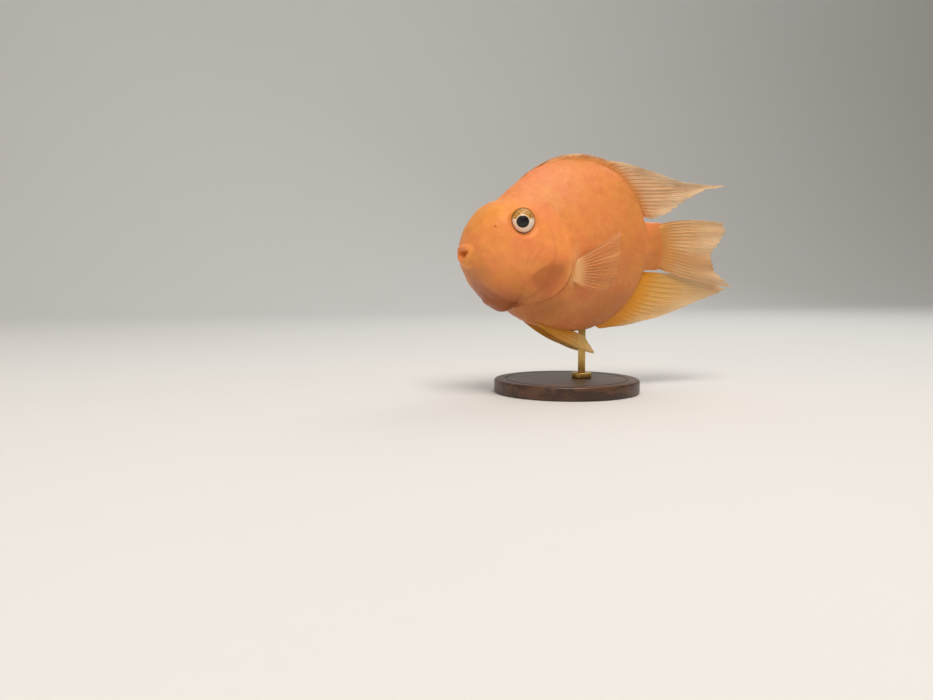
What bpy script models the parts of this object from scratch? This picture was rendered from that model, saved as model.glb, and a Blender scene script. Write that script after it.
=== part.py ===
"""Blood parrot cichlid at life size, held by a plain display stand.

The fish swims toward -X with its back up and its left side toward -Y. Sizes are written in millimetres
from the middle of the body, and placed() turns them into metres with the stand's foot at height 0.
"""

import math

import bmesh
import bpy
from mathutils import Matrix, Vector

MM = 0.001
GAP = 0.3
FAR = 1000.0

# Driving sizes of the fish, in millimetres from the middle of the body
SNOUT_X, MOUTH_Z = -83.6, -5.0
BROW_X, BROW_Z, BROW_ROUND, BROW_BACK = -59.5, 25.0, 1.88, 30.0
THROAT_X, THROAT_Z, THROAT_ROUND, THROAT_BACK = -61.0, -39.0, 1.5, 12.5
BACK_X, BACK_Z, BACK_FRONT, BACK_REAR = -14.5, 49.4, 56.9, 47.4
BACK_FRONT_ROUND, BACK_REAR_ROUND = 1.8, 2.3
BELLY_X, BELLY_Z, BELLY_FRONT, BELLY_REAR = -16.0, -51.0, 59.5, 50.0
BELLY_ROUND = 2.05
FLANK_X, FLANK_Y, FLANK_FRONT, FLANK_ROUND = -34.0, 26.5, 49.6, 2.7
FLANK_LATE, FLANK_HOLLOW = 2.2, 1.5
STALK_X, STALK_TOP, STALK_BOTTOM, STALK_Y = 44.0, 14.2, -15.0, 3.5
STALK_FROM, STALK_STEPS = 32.0, ((1.6, 0.88), (2.6, 0.62))
CREASE, STALK_FILLET = 1.5, 5.0

# The body bends ahead of TURN_FROM, so that the snout swings to the fish's left by HEAD_TURN
TURN_FROM, HEAD_TURN = -30.0, 4.5

# Height of the widest line along the flank, and how round the back and the belly are there
WIDEST = ((SNOUT_X, MOUTH_Z), (-63, -9), (-32, -6), (0, -2), (STALK_X, -0.5))
BACK_SHAPE = ((SNOUT_X, 2.2), (-65, 2.4), (-55, 1.75), (-40, 1.45), (0, 1.5), (25, 1.8), (STALK_X, 2.0))
BELLY_SHAPE = ((SNOUT_X, 2.0), (-63, 1.95), (-42, 1.85), (0, 1.7), (25, 1.8), (STALK_X, 2.0))

# Mouth: rings from the back of the cavity over the thick lips to the face. Each is given by how far it
# lies behind the snout, its half width, its height above and below the line of the mouth, and how
# round it is below
MOUTH_DEEP = 6.5
LIP_RINGS = ((MOUTH_DEEP, 2.2, 0.6, 2.2, 1.3), (-0.6, 4.1, 1.0, 3.9, 1.3), (-1.9, 4.8, 1.6, 4.5, 1.45),
             (-2.5, 5.9, 2.5, 5.4, 1.6), (-1.2, 7.4, 3.8, 6.8, 1.8), (0.5, 8.6, 4.8, 7.8, 1.9))
UPPER_LIP = 2.4

EYE_AT = Vector((-56.4, 16.8, 12.0))
EYE_RADIUS, EYE_FORWARD, EYE_UP = 7.6, math.radians(14), math.radians(5)
NOSTRIL_AT, NOSTRIL_RADIUS = (-74.0, 8.5), 0.8

# Rear edge of the gill cover from the nape crease to the throat, and its front edge, in side view
GILL_REAR = ((-60.6, 23.5), (-49, 22), (-38, 16.5), (-32, 8), (-29, 0), (-28.2, -10), (-29.8, -20),
             (-34.5, -27.5), (-42.5, -32.8), (-51.5, -35.8), (-57.6, -37.6))
GILL_FRONT = ((-43.5, 10.5), (-40.6, 3), (-40, -5), (-41.8, -15), (-47, -24), (-53.5, -30), (-59, -33.2))
GILL_TOP, GILL_FOOT = (22.5, 16.5), (2.5, -9.0)
GILL_THICK, GILL_BULGE, GILL_SPREAD = 3.0, 1.1, 15.0
BULGE_Z, BULGE_REACH = -11.0, 23.0
GILL_IN, GILL_RINGS = 7.0, slice(2, -6)
BEYOND = 60.0

SPINES, SPINES_FROM, SPINES_TO, SPINE_HIGH = 13, -45.0, 2.5, 5.2
THREAD, THREAD_RAY = Vector((14.3, 0.0, 0.9)), 6
SUNK = 3.2

RING_POINTS = 36
FIN_MOST = 4.0
MEMBRANE, MEMBRANE_THINS = 0.55, 0.15
SHOULDER = 0.26
FLESHY_OUT = 2.5

# Stand, and where the middle of the fish's body is held above it
BASE_RADIUS, BASE_HIGH, BASE_X, BASE_BEVEL = 43.0, 8.0, -18.0, 1.5
COLLAR_RADIUS, COLLAR_HIGH = 6.0, 3.0
ROD_RADIUS, ROD_X, ROD_TOP = 2.2, -8.0, 57.0
BODY_HIGH = 87.0
BODY_SHIFT = -5.24

FLESH = (0.85, 0.27, 0.06, 1.0)
FIN = (0.88, 0.50, 0.17, 1.0)
MATERIALS = {
    "head_skin": ((0.90, 0.40, 0.09, 1.0), 0.38, 0.0),
    "body_skin": (FLESH, 0.38, 0.0),
    "gill_skin": ((0.82, 0.25, 0.07, 1.0), 0.38, 0.0),
    "fin": (FIN, 0.45, 0.0),
    "eye": ((0.93, 0.88, 0.78, 1.0), 0.08, 0.0),
    "base_wood": ((0.10, 0.05, 0.03, 1.0), 0.35, 0.0),
    "brass": ((0.78, 0.60, 0.28, 1.0), 0.25, 1.0),
}


def placed(x, y, z):
    """A point given from the middle of the straight body, in the part's frame with the head turned."""
    ahead, angle = max(0.0, TURN_FROM - x), turned(x)
    swing = HEAD_TURN * (ahead / (TURN_FROM - SNOUT_X)) ** 2
    bent = Vector((x - y * math.sin(angle), y * math.cos(angle) - swing, z))
    return (bent + Vector((BODY_SHIFT, 0.0, BODY_HIGH))) * MM


def turned(x):
    """How far the body is turned to its left at x, as an angle."""
    return 2.0 * HEAD_TURN * max(0.0, TURN_FROM - x) / (TURN_FROM - SNOUT_X) ** 2


def quarter(share, roundness):
    """Height of a superellipse of height 1 at this share of its length."""
    return max(0.0, 1.0 - min(1.0, abs(share)) ** roundness) ** (1.0 / roundness)


def arch(x, top_x, top, foot, front, rear, front_round, rear_round):
    """An arch that rises from foot to top at top_x, and has nothing beyond its two ends."""
    length, roundness = (front, front_round) if x < top_x else (rear, rear_round)
    share = (x - top_x) / length
    if abs(share) > 1.0:
        return -FAR if top > foot else FAR
    return foot + (top - foot) * quarter(share, roundness)


def joined(a, b, blend):
    """The higher of two outlines, with the corner between them filled over blend."""
    near = max(blend - abs(a - b), 0.0) / blend
    return max(a, b) + near * near * blend / 4.0


def along(stations, x):
    """A smooth curve through the stations, read at x."""
    last = len(stations) - 1
    if x <= stations[0][0]:
        return stations[0][1]
    if x >= stations[last][0]:
        return stations[last][1]
    i = max(k for k in range(last) if stations[k][0] <= x)
    (x0, a), (x1, b) = stations[i], stations[i + 1]
    before, after = stations[max(i - 1, 0)], stations[min(i + 2, last)]
    rise = (b - before[1]) / (x1 - before[0]) * (x1 - x0)
    fall = (after[1] - a) / (after[0] - x0) * (x1 - x0)
    t = (x - x0) / (x1 - x0)
    return (a * (1 + 2 * t) * (1 - t) ** 2 + rise * t * (1 - t) ** 2
            + b * t * t * (3 - 2 * t) + fall * t * t * (t - 1))


def top_line(x):
    """Height of the back: forehead, nape crease, hump and tail stalk."""
    forehead = arch(x, BROW_X, BROW_Z, MOUTH_Z, BROW_X - SNOUT_X, BROW_BACK, BROW_ROUND, 2.0)
    hump = arch(x, BACK_X, BACK_Z, 0.0, BACK_FRONT, BACK_REAR, BACK_FRONT_ROUND, BACK_REAR_ROUND)
    return joined(joined(forehead, hump, CREASE), STALK_TOP if x > 0 else -FAR, STALK_FILLET)


def bottom_line(x):
    """Height of the underside: chin, throat notch, belly and tail stalk."""
    chin = arch(x, THROAT_X, THROAT_Z, MOUTH_Z, THROAT_X - SNOUT_X, THROAT_BACK, THROAT_ROUND, 2.0)
    belly = arch(x, BELLY_X, BELLY_Z, 0.0, BELLY_FRONT, BELLY_REAR, BELLY_ROUND, BELLY_ROUND)
    return -joined(joined(-chin, -belly, CREASE), -STALK_BOTTOM if x > 0 else -FAR, STALK_FILLET)


def flank(x):
    """Half width of the body."""
    if x < FLANK_X:
        return FLANK_Y * quarter((x - FLANK_X) / FLANK_FRONT, FLANK_ROUND)
    share = (x - FLANK_X) / (STALK_X - FLANK_X)
    return STALK_Y + (FLANK_Y - STALK_Y) * (1.0 - share ** FLANK_LATE) ** FLANK_HOLLOW


def superellipse(angle, half_width, up, down, up_shape, down_shape):
    """A point of a cross section as (y, z) from its middle; the two halves have their own shapes."""
    c, s = math.cos(angle), math.sin(angle)
    high, shape = (up, up_shape) if s >= 0 else (down, down_shape)
    y = math.copysign(abs(c) ** (2.0 / shape), c) * half_width
    return y, math.copysign(abs(s) ** (2.0 / shape), s) * high


def gill_bulge(x, y, z):
    """How far the gill cover's free edge stands out from the flank."""
    if x > 0 or abs(z - BULGE_Z) > BULGE_REACH:
        return 0.0
    edge = along(GILL_SIDE, z)
    high = quarter((z - BULGE_Z) / BULGE_REACH, 2.0)
    return GILL_BULGE * high * math.exp(-(((edge - x) / GILL_SPREAD) ** 2)) * abs(y) / FLANK_Y


GILL_SIDE = tuple((z, x) for x, z in reversed(GILL_REAR[2:9]))


def body_ring(x, grow=0.0, bulge=False):
    """Points of the body's cross section at x, in millimetres."""
    middle = along(WIDEST, x)
    up, down = top_line(x) - middle + grow, middle - bottom_line(x) + grow
    ring = []
    for k in range(RING_POINTS):
        angle = 2.0 * math.pi * k / RING_POINTS
        y, z = superellipse(angle, flank(x) + grow, up, down, along(BACK_SHAPE, x), along(BELLY_SHAPE, x))
        out = 1.0 + (gill_bulge(x, y, z + middle) / flank(x) if bulge else 0.0)
        ring.append((x, y * out, z + middle))
    return ring


def mouth_ring(back, half_width, up, down, round_below):
    """One ring of the mouth: flat along the upper lip and pointed below, as a parrot's beak."""
    points = []
    for k in range(RING_POINTS):
        angle = 2.0 * math.pi * k / RING_POINTS
        y, z = superellipse(angle, half_width, up, down, UPPER_LIP, round_below)
        points.append((SNOUT_X + back, y, z + MOUTH_Z))
    return points


def ring_places():
    """Where the body's rings stand: close on the round muzzle and where the trunk falls to the stalk."""
    muzzle = BROW_X - SNOUT_X
    places = [BROW_X - muzzle * math.cos(math.radians(a)) for a in (24, 30, 37, 44, 52, 60, 68, 76, 84, 90)]
    places += [BROW_X + 2.4 + 4.3 * k for k in range(18)]
    return places + [19.8, 23.4, 26.4, 29.0, 31.0, 32.8, 35.0, 38.0, 41.0, STALK_X]


def new_object(name, mesh, material, collection):
    obj = bpy.data.objects.new(name, mesh)
    collection.objects.link(obj)
    if material:
        mesh.materials.append(bpy.data.materials[material])
    return obj


def loft(name, rings, collection, material=None):
    """A closed body through rings of equal count, with a flat cap at each end."""
    bm = bmesh.new()
    loops = [[bm.verts.new(placed(*p)) for p in ring] for ring in rings]
    for a, b in zip(loops, loops[1:]):
        for k in range(len(a)):
            n = (k + 1) % len(a)
            bm.faces.new((a[k], a[n], b[n], b[k]))
    bm.faces.new(loops[0])
    bm.faces.new(loops[-1])
    bmesh.ops.recalc_face_normals(bm, faces=bm.faces)
    mesh = bpy.data.meshes.new(name)
    bm.to_mesh(mesh)
    bm.free()
    return new_object(name, mesh, material, collection)


def whole_body(name, collection, bulge, material=None):
    """The whole fish without fins, from the back of the mouth to the end of the tail stalk."""
    rings = [mouth_ring(*ring) for ring in LIP_RINGS]
    rings += [body_ring(x, bulge=bulge) for x in ring_places()]
    rings += [stalk_end(back, share) for back, share in STALK_STEPS]
    return loft(name, rings, collection, material)


def stalk_end(back, share):
    """A ring of the rounded rear edge of the tail stalk, drawn in toward its middle."""
    middle = along(WIDEST, STALK_X)
    return [(x + back, y * share, middle + (z - middle) * share) for x, y, z in body_ring(STALK_X)]


def swollen_body(name, collection, grow):
    """The body pushed out along its normals, as a cutter that leaves a gap."""
    rings = [body_ring(x, bulge=True) for x in ring_places()]
    obj = loft(name, rings + [stalk_end(back, share) for back, share in STALK_STEPS], collection)
    bm = bmesh.new()
    bm.from_mesh(obj.data)
    bm.normal_update()
    for vert in bm.verts:
        vert.co += vert.normal * grow * MM
    bm.to_mesh(obj.data)
    bm.free()
    return obj


def plate(name, outline, low_y, high_y, collection):
    """A flat side-view outline given thickness across the fish, and bent as the body is."""
    curve = bpy.data.curves.new(name, "CURVE")
    curve.dimensions, curve.fill_mode = "2D", "BOTH"
    curve.extrude = (high_y - low_y) / 2
    spline = curve.splines.new("POLY")
    spline.points.add(len(outline) - 1)
    for point, (x, z) in zip(spline.points, outline):
        point.co = (x, z, 0, 1)
    spline.use_cyclic_u = True
    guide = bpy.data.objects.new(name + "_curve", curve)
    collection.objects.link(guide)
    obj = new_object(name, meshed(guide), None, collection)
    bpy.data.objects.remove(guide)
    bm = bmesh.new()
    bm.from_mesh(obj.data)
    bmesh.ops.remove_doubles(bm, verts=bm.verts, dist=0.002)
    for vert in bm.verts:
        x, z, across = vert.co
        vert.co = placed(x, (low_y + high_y) / 2 + across, z)
    bmesh.ops.recalc_face_normals(bm, faces=bm.faces)
    bm.to_mesh(obj.data)
    bm.free()
    return obj


def meshed(obj):
    """The object's mesh as its modifiers or its curve make it."""
    bpy.context.view_layer.update()
    graph = bpy.context.evaluated_depsgraph_get()
    return bpy.data.meshes.new_from_object(obj.evaluated_get(graph))


def cut(obj, other, operation):
    """Applies one exact Boolean to obj."""
    modifier = obj.modifiers.new(operation.lower(), "BOOLEAN")
    modifier.operation, modifier.object, modifier.solver = operation, other, "EXACT"
    applied(obj)


def applied(obj):
    """Makes the object's evaluated mesh its own, with no modifier left."""
    mesh = meshed(obj)
    obj.modifiers.clear()
    obj.data = mesh


def keep_largest(obj):
    """Keeps the object's largest closed surface and drops loose scraps."""
    bm = bmesh.new()
    bm.from_mesh(obj.data)
    left, pieces = set(bm.verts), []
    while left:
        piece, edge = set(), [left.pop()]
        while edge:
            vert = edge.pop()
            piece.add(vert)
            near = [e.other_vert(vert) for e in vert.link_edges]
            edge += [v for v in near if v in left]
            left.difference_update(near)
        pieces.append(piece)
    pieces.sort(key=piece_reach)
    bmesh.ops.delete(bm, geom=[v for piece in pieces[:-1] for v in piece], context="VERTS")
    bmesh.ops.triangulate(bm, faces=bm.faces)
    bm.to_mesh(obj.data)
    bm.free()


def piece_reach(piece):
    """Diagonal of a piece's box."""
    sides = [max(v.co[i] for v in piece) - min(v.co[i] for v in piece) for i in range(3)]
    return Vector(sides).length


def smooth(obj, degrees=35):
    obj.data.shade_smooth()
    obj.data.set_sharp_from_angle(angle=math.radians(degrees))


def smoothed(points, steps=4):
    """Points on a smooth curve through the given side-view points."""
    curve = []
    for i in range(len(points) - 1):
        p = [Vector(points[min(max(i + d, 0), len(points) - 1)]) for d in (-1, 0, 1, 2)]
        for k in range(steps):
            t = k / steps
            curve.append(0.5 * (2 * p[1] + (p[2] - p[0]) * t + (2 * p[0] - 5 * p[1] + 4 * p[2] - p[3]) * t * t
                                + (3 * p[1] - p[0] - 3 * p[2] + p[3]) * t ** 3))
    return [tuple(v) for v in curve] + [tuple(points[-1])]


def head_outline(grow):
    """Side view of all that lies before the gill opening and the nape crease."""
    edge = [(x + grow, z) for x, z in smoothed(GILL_REAR)]
    return [(-99, 99), (edge[0][0], 99), *edge, (edge[-1][0], -99), (-99, -99)]


def tail_outline(front):
    """Side view of all that lies behind the front of the tail stalk."""
    return [(front, BEYOND), (front + BEYOND, BEYOND), (front + BEYOND, -BEYOND), (front, -BEYOND)]


def gill_outline(grow):
    """Side view of the gill cover out past its rear edge, drawn back by grow along its front."""
    front = [(x + grow, z) for x, z in smoothed(GILL_FRONT)]
    front[0] = (front[0][0], front[0][1] - 0.6 * grow)
    top = (front[0][0] + GILL_TOP[0], front[0][1] + GILL_TOP[1])
    foot = (front[-1][0] + GILL_FOOT[0], front[-1][1] + GILL_FOOT[1])
    return [top, (-10, top[1]), (-10, foot[1]), foot, *reversed(front)]


def ray_path(root, tip, bow, share):
    """A point on a fin ray: from root to tip, bowed sideways in its middle."""
    root, tip = Vector(root), Vector(tip)
    return root.lerp(tip, share) + Vector(bow) * 4.0 * share * (1.0 - share)


def fin(name, rays, rows, collection, crest=1.3, tip_crest=0.55, notch=0.05, fleshy=2.0):
    """A fin whose rays stand as ridges in its own surface: each ray has a crest between two shoulders.

    rays holds (root, tip, bow) for each ray. The sheet starts SUNK inside the body.
    """
    columns = [(i + side * SHOULDER, side == 0) for i in range(len(rays)) for side in (-1, 0, 1)]
    sunk = [SUNK / (tip - root).length for root, tip, _ in rays]
    bm = bmesh.new()
    bmesh.ops.create_grid(bm, x_segments=len(columns) - 1, y_segments=rows, size=1.0)
    weights = bm.verts.layers.deform.verify()
    for vert in bm.verts:
        at, on_crest = columns[round((vert.co.x + 1) / 2 * (len(columns) - 1))]
        row = round((vert.co.y + 1) / 2 * rows) / rows
        first = min(max(int(math.floor(at)), 0), len(rays) - 2)
        reach = 1.0 if on_crest else 1.0 - notch
        shares = [(reach + sunk[k]) * row - sunk[k] for k in (first, first + 1)]
        low, high = (ray_path(*rays[first + k], shares[k]) for k in (0, 1))
        vert.co = placed(*low.lerp(high, at - first))
        out = shares[0] * (rays[first][1] - rays[first][0]).length
        ridge = crest + (tip_crest - crest) * row
        thick = ridge if on_crest else MEMBRANE - MEMBRANE_THINS * row
        thick += fleshy * math.exp(-max(out, 0.0) / FLESHY_OUT)
        vert[weights][0] = min(1.0, thick / FIN_MOST)
    bmesh.ops.triangulate(bm, faces=bm.faces, quad_method="FIXED")
    mesh = bpy.data.meshes.new(name)
    bm.to_mesh(mesh)
    bm.free()
    obj = new_object(name, mesh, "fin", collection)
    obj.vertex_groups.new(name="thickness")
    solid = obj.modifiers.new("thickness", "SOLIDIFY")
    solid.thickness, solid.offset = FIN_MOST * MM, 0.0
    solid.vertex_group, solid.thickness_vertex_group = "thickness", 0.0
    applied(obj)
    return obj


def fan(count, roots, tips, bows):
    """Rays spread between curves: each of roots, tips and bows is a list of points read evenly."""
    rays = []
    for i in range(count):
        t = i / (count - 1)
        rays.append(tuple(spread(points, t) for points in (roots, tips, bows)))
    return rays


def spread(points, t):
    """A point at share t of the smooth curve through evenly spaced points."""
    last = len(points) - 1
    return Vector([along([(k / last, p[axis]) for k, p in enumerate(points)], t) for axis in range(3)])


def mirrored(rays):
    """The same rays on the other side of the fish."""
    return [tuple(Vector((v[0], -v[1], v[2])) for v in ray) for ray in reversed(rays)]


def dorsal_spines():
    """The low spiny front of the back fin, folded down along the hump."""
    rays = []
    for i in range(SPINES):
        x = SPINES_FROM + (SPINES_TO - SPINES_FROM) * i / (SPINES - 1)
        high = SPINE_HIGH * (0.35 + 0.65 * math.sin(math.pi / 2 * min(1.0, (i + 0.5) / 8.0)))
        root = Vector((x, 0.0, top_line(x)))
        lean = Vector((0.8, 0.0, 0.75 - 0.05 * (i - 5)))
        rays.append((root, root + lean.normalized() * high, Vector((0, 0, 0))))
    return rays


def soft_dorsal():
    """The pointed rear of the back fin, whose middle ray trails behind as a thread."""
    roots = [(6.5, 0, 46.2), (15.5, 0, 40.6), (23.5, 0, 33.0), (28.6, 0, 24.3), (31.6, 0, 17.0)]
    tips = [(17.5, 0, 47.7), (37, 0.5, 43.2), (58.5, 1, 38.4), (79, 2, 37), (64, 1.5, 28), (51, 0.7, 20),
            (39, 0, 16)]
    bows = [(0, 0, 0.8), (0, 0.8, 1.0), (0, 1.2, -0.6), (0, 0.8, 0.6), (0, 0, 0.4)]
    rays = fan(13, roots, tips, bows)
    root, tip, bow = rays[THREAD_RAY]
    rays[THREAD_RAY] = (root, tip + THREAD, bow)
    return rays


def anal_rays():
    """The pointed fin under the tail, short and spiny in front."""
    roots = [(0.5, 0, -48.0), (11.0, 0, -43.2), (20.5, 0, -35.4), (27.5, 0, -26.2), (33.0, 0, -15.9)]
    tips = [(4.5, 0, -49.6), (19, 0.3, -48.3), (37, 0.8, -45.4), (55, 1.3, -40.6), (74, 1.9, -34),
            (94.0, 3, -26.8), (60, 1.5, -19.2)]
    bows = [(0, 0, -0.4), (0, 0.4, -1.2), (0, 0.8, -2.2), (0, 1, -2.4), (0, 0, -0.6)]
    return fan(13, roots, tips, bows)


def caudal_rays():
    """The tail fin: two lobes with a notch, half closed and bent a little to the right side."""
    roots = [(44.0, 0, 13.2), (45.6, 0, 6.5), (46.4, 0, -0.5), (45.6, 0, -7.5), (44.0, 0, -14.2)]
    tips = [(95.6, 4, 14.4), (94, 3, 7), (83.8, 1, -4.5), (85, -1, -15.8), (97.6, -2, -25.8)]
    bows = [(0, 1.5, 2.4), (0, 1, 1.0), (0, 0, 0), (0, -1, -0.6), (0, 0, -1.6)]
    return fan(14, roots, tips, bows)


def pectoral_rays():
    """The right side fin, spread back and out from just behind the gill cover."""
    roots = [(-25.2, 25.6, -9.5), (-24.6, 25.6, -15.5), (-25.2, 24.8, -22.0)]
    tips = [(-1.0, 33.0, 6.8), (-1.5, 35.0, -3.5), (-3.0, 35.0, -13.0), (-5.5, 33.0, -21.5),
            (-10.5, 30.5, -28.0)]
    bows = [(0, 1.2, 0.8), (0, 1.6, 0), (0, 1.2, -0.8)]
    return fan(12, roots, tips, bows)


def pelvic_rays():
    """The right belly fin, folded back along the belly to a long point."""
    roots = [(-40.0, 7.6, -47.0), (-34.0, 7.2, -48.4), (-26.0, 6.0, -49.6), (-18.0, 4.6, -50.2)]
    tips = [(-7.5, 9.6, -62.0), (-4.5, 9.0, -63.8), (-7.0, 8.0, -57.5), (-10.5, 6.5, -53.2)]
    bows = [(0, 0.6, -2.2), (0, 0.6, -1.0), (0, 0.3, -0.3), (0, 0, 0)]
    return fan(7, roots, tips, bows)


def ball(name, centre, radius, collection, material=None, segments=20, rings=10):
    """A ball whose poles lie across the fish."""
    bm = bmesh.new()
    bmesh.ops.create_uvsphere(bm, u_segments=segments, v_segments=rings, radius=radius * MM)
    bmesh.ops.rotate(bm, verts=bm.verts, matrix=Matrix.Rotation(math.radians(90), 3, "X"))
    mesh = bpy.data.meshes.new(name)
    bm.to_mesh(mesh)
    bm.free()
    obj = new_object(name, mesh, material, collection)
    obj.location = placed(*centre)
    return obj


def side_of(point, side):
    return Vector((point[0], point[1] * side, point[2]))


def cylinder(name, radius, low, high, x, material, collection, bevel=0.0, segments=24):
    """An upright round piece, its heights measured from the floor."""
    bm = bmesh.new()
    bmesh.ops.create_cone(bm, cap_ends=True, segments=segments, radius1=radius * MM, radius2=radius * MM,
                          depth=(high - low) * MM)
    mesh = bpy.data.meshes.new(name)
    bm.to_mesh(mesh)
    bm.free()
    obj = new_object(name, mesh, material, collection)
    obj.location = ((x + BODY_SHIFT) * MM, 0.0, (low + high) / 2 * MM)
    if bevel:
        edge = obj.modifiers.new("bevel", "BEVEL")
        edge.width, edge.segments, edge.limit_method = bevel * MM, 2, "ANGLE"
    return obj


def make_materials():
    for name, (colour, roughness, metallic) in MATERIALS.items():
        material = bpy.data.materials.new(name)
        material.use_nodes = True
        shader = material.node_tree.nodes["Principled BSDF"]
        shader.inputs["Base Color"].default_value = colour
        shader.inputs["Roughness"].default_value = roughness
        shader.inputs["Metallic"].default_value = metallic
        material.diffuse_color = colour


def make_body(fish, cutters):
    """Head, gill covers, trunk and tail stalk, parted by thin cuts."""
    before_gills, with_gap = (plate(name, head_outline(grow), -BEYOND, BEYOND, cutters)
                              for name, grow in (("before_gills", 0.0), ("before_gills_and_gap", GAP)))
    tail_end, tail_gap = (plate(name, tail_outline(STALK_FROM - grow), -BEYOND, BEYOND, cutters)
                          for name, grow in (("tail_end", 0.0), ("tail_end_and_gap", GAP)))

    head = whole_body("head", fish, True, "head_skin")
    cut(head, before_gills, "INTERSECT")
    trunk = whole_body("trunk", fish, False, "body_skin")
    cut(trunk, with_gap, "DIFFERENCE")
    cut(trunk, tail_gap, "DIFFERENCE")
    stalk = whole_body("tail_stalk", fish, False, "body_skin")
    cut(stalk, tail_end, "INTERSECT")
    for side, word in ((-1, "left"), (1, "right")):
        make_gill_cover(head, side, word, fish, cutters)
        make_eye(head, side, word, fish, cutters)
    for obj in (head, trunk, stalk):
        keep_largest(obj)
        smooth(obj)


def make_gill_cover(head, side, word, fish, cutters):
    """A curved plate over the gills, let into the head."""
    rings = ring_places()[GILL_RINGS]
    core, deep_core = (loft(name + word, [body_ring(x, grow=-deep) for x in rings], cutters)
                       for name, deep in (("core_", GILL_THICK), ("deep_core_", GILL_THICK + GAP)))
    cover = whole_body("gill_cover_" + word, fish, True, "gill_skin")
    cut(cover, gill_plate("gill_region_" + word, side, GAP, cutters), "INTERSECT")
    cut(cover, bpy.data.objects["before_gills"], "INTERSECT")
    cut(cover, core, "DIFFERENCE")
    keep_largest(cover)
    smooth(cover)
    recess = gill_plate("gill_recess_" + word, side, 0.0, cutters)
    cut(recess, deep_core, "DIFFERENCE")
    cut(head, recess, "DIFFERENCE")


def gill_plate(name, side, grow, collection):
    """The side-view region of one gill cover, from GILL_IN outward."""
    low, high = sorted((side * (GILL_IN + grow), side * BEYOND))
    return plate(name, gill_outline(grow), low, high, collection)


def make_eye(head, side, word, fish, cutters):
    """An eyeball in its socket, turned a little forward and up."""
    centre = side_of(EYE_AT, side)
    socket = ball("socket_" + word, centre, EYE_RADIUS + GAP, cutters)
    cut(head, socket, "DIFFERENCE")
    eye = ball("eye_" + word, centre, EYE_RADIUS, fish, "eye")
    eye.rotation_euler = (-side * EYE_UP, 0.0, side * EYE_FORWARD + turned(EYE_AT.x))
    smooth(eye)
    x, z = NOSTRIL_AT
    pit_y = nostril_width(x, z)
    pit = ball("nostril_pit_" + word, (x, side * pit_y, z), NOSTRIL_RADIUS, cutters, segments=10, rings=6)
    cut(head, pit, "DIFFERENCE")


def nostril_width(x, z):
    """Half width of the head at this height."""
    middle = along(WIDEST, x)
    shape = along(BACK_SHAPE, x)
    return flank(x) * quarter((z - middle) / (top_line(x) - middle), shape)


def make_fins(fish, cutters):
    """Every fin, its root cut to lie a gap away from the body."""
    clear = swollen_body("body_and_gap", cutters, GAP)
    pectoral, pelvic = pectoral_rays(), pelvic_rays()
    fins = [
        fin("dorsal_fin", dorsal_spines() + soft_dorsal(), 6, fish),
        fin("anal_fin", anal_rays(), 7, fish),
        fin("caudal_fin", caudal_rays(), 7, fish, fleshy=2.6),
        fin("pectoral_fin_right", pectoral, 5, fish, crest=1.0),
        fin("pectoral_fin_left", mirrored(pectoral), 5, fish, crest=1.0),
        fin("pelvic_fin_right", pelvic, 5, fish),
        fin("pelvic_fin_left", mirrored(pelvic), 5, fish),
    ]
    for obj in fins:
        cut(obj, clear, "DIFFERENCE")
        keep_largest(obj)
        smooth(obj)


def make_stand(fish):
    """A round base, a collar and one rod up to the belly."""
    base = cylinder("stand_base", BASE_RADIUS, 0.0, BASE_HIGH, BASE_X, "base_wood", fish, BASE_BEVEL, 40)
    low = BASE_HIGH + GAP
    collar = cylinder("stand_collar", COLLAR_RADIUS, low, low + COLLAR_HIGH, ROD_X, "brass", fish, 0.6)
    low += COLLAR_HIGH + GAP
    rod = cylinder("stand_rod", ROD_RADIUS, low, ROD_TOP, ROD_X, "brass", fish, segments=16)
    cut(rod, bpy.data.objects["body_and_gap"], "DIFFERENCE")
    keep_largest(rod)
    for obj in (base, collar, rod):
        smooth(obj)


def main():
    for obj in list(bpy.data.objects):
        bpy.data.objects.remove(obj, do_unlink=True)
    fish = bpy.data.collections.new("blood_parrot_cichlid")
    cutters = bpy.data.collections.new("cutters")
    for collection in (fish, cutters):
        bpy.context.scene.collection.children.link(collection)
    make_materials()
    make_body(fish, cutters)
    make_fins(fish, cutters)
    make_stand(fish)
    for obj in cutters.objects:
        obj.hide_render, obj.display_type = True, "WIRE"


main()
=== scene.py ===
"""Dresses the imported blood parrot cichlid: one skin, its scales, finely rayed fins, eyes and stand."""

import math

import bmesh
import bpy
import numpy as np
from bpy.props import FloatProperty, FloatVectorProperty, PointerProperty
from mathutils import Matrix, Vector


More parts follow.
